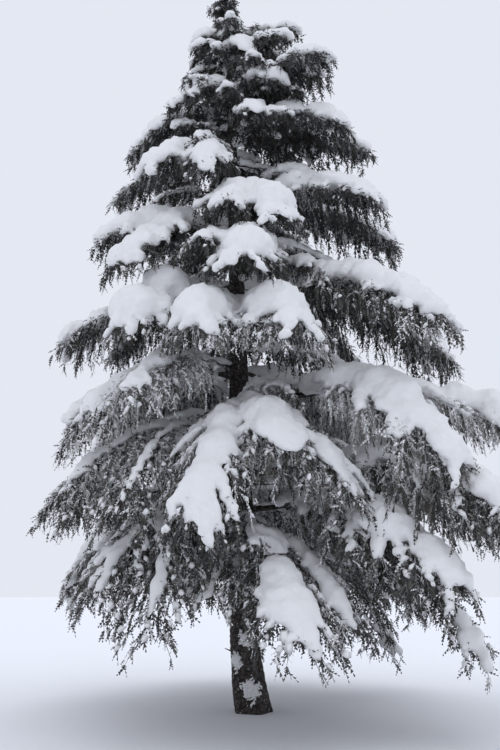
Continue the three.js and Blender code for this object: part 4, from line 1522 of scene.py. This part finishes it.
class SpruceStage(bpy.types.PropertyGroup):
    floor: FloatVectorProperty(name="Floor", description="Colour of the floor",
                               default=linear("#f3f4f7"), subtype="COLOR", min=0, max=1)
    sky: FloatVectorProperty(name="Sky", description="Colour of the overcast light",
                             default=linear("#e4e8f2"), subtype="COLOR", min=0, max=1)
    zenith: FloatProperty(name="Zenith", description="How much brighter the light is overhead", default=1.7)
    lens: FloatProperty(name="Lens", description="Focal length on a 36 mm sensor",
                        default=33.6, subtype="DISTANCE_CAMERA")
    eye: FloatProperty(name="Eye height", description="Height of the camera", default=1.6, unit="LENGTH")
    tilt: FloatProperty(name="Tilt", description="How far the camera looks up, in degrees", default=16.3)


class SPRUCE_OT_trunk(bpy.types.Operator):
    """Makes the trunk with its scaly bark"""

    bl_idname = "spruce.trunk"
    bl_label = "Trunk"

    def execute(self, context):
        make_trunk()
        return {"FINISHED"}


class SPRUCE_OT_boughs(bpy.types.Operator):
    """Makes the main boughs and the limbs"""

    bl_idname = "spruce.boughs"
    bl_label = "Boughs and limbs"

    def execute(self, context):
        make_boughs()
        make_limbs()
        return {"FINISHED"}


class SPRUCE_OT_twigs(bpy.types.Operator):
    """Makes the side twigs"""

    bl_idname = "spruce.twigs"
    bl_label = "Twigs"

    def execute(self, context):
        make_twigs()
        return {"FINISHED"}


class SPRUCE_OT_needles(bpy.types.Operator):
    """Makes the needled shoots, tier by tier"""

    bl_idname = "spruce.needles"
    bl_label = "Needles"

    def execute(self, context):
        for tier in TIERS:
            make_needles(tier)
        return {"FINISHED"}


class SPRUCE_OT_snow(bpy.types.Operator):
    """Makes the pillows of snow, tier by tier"""

    bl_idname = "spruce.snow"
    bl_label = "Snow"

    def execute(self, context):
        for tier in TIERS:
            make_snow(tier)
        make_clumps()
        return {"FINISHED"}


class SPRUCE_OT_stage(bpy.types.Operator):
    """Makes the floor, the light and the camera"""

    bl_idname = "spruce.stage"
    bl_label = "Stage"

    def execute(self, context):
        make_stage()
        return {"FINISHED"}


class SPRUCE_PT_panel(bpy.types.Panel):
    """Lists the spruce's settings and the steps that make it"""

    bl_label = "Snow-laden Spruce"
    bl_idname = "SPRUCE_PT_panel"
    bl_space_type = "VIEW_3D"
    bl_region_type = "UI"
    bl_category = "Spruce"

    def draw(self, context):
        for group in SETTINGS:
            box = self.layout.box()
            settings = getattr(context.scene, group)
            for name in settings.bl_rna.properties.keys():
                if name not in ("rna_type", "name"):
                    box.prop(settings, name)
        for operator in OPERATORS:
            self.layout.operator(operator.bl_idname)


SETTINGS = {
    "spruce_bark": SpruceBark,
    "spruce_needles": SpruceNeedles,
    "spruce_snow": SpruceSnow,
    "spruce_stage": SpruceStage,
}
OPERATORS = [
    SPRUCE_OT_stage,
    SPRUCE_OT_trunk,
    SPRUCE_OT_boughs,
    SPRUCE_OT_twigs,
    SPRUCE_OT_needles,
    SPRUCE_OT_snow,
]


def register():
    for made in [*SETTINGS.values(), *OPERATORS, SPRUCE_PT_panel]:
        bpy.utils.register_class(made)
    for name, group in SETTINGS.items():
        setattr(bpy.types.Scene, name, PointerProperty(type=group))


def unregister():
    for name in SETTINGS:
        delattr(bpy.types.Scene, name)
    for made in [SPRUCE_PT_panel, *reversed(OPERATORS), *reversed(SETTINGS.values())]:
        bpy.utils.unregister_class(made)


def main():
    register()
    for operator in OPERATORS:
        group, name = operator.bl_idname.split(".")
        getattr(getattr(bpy.ops, group), name)()


if __name__ == "__main__":
    main()
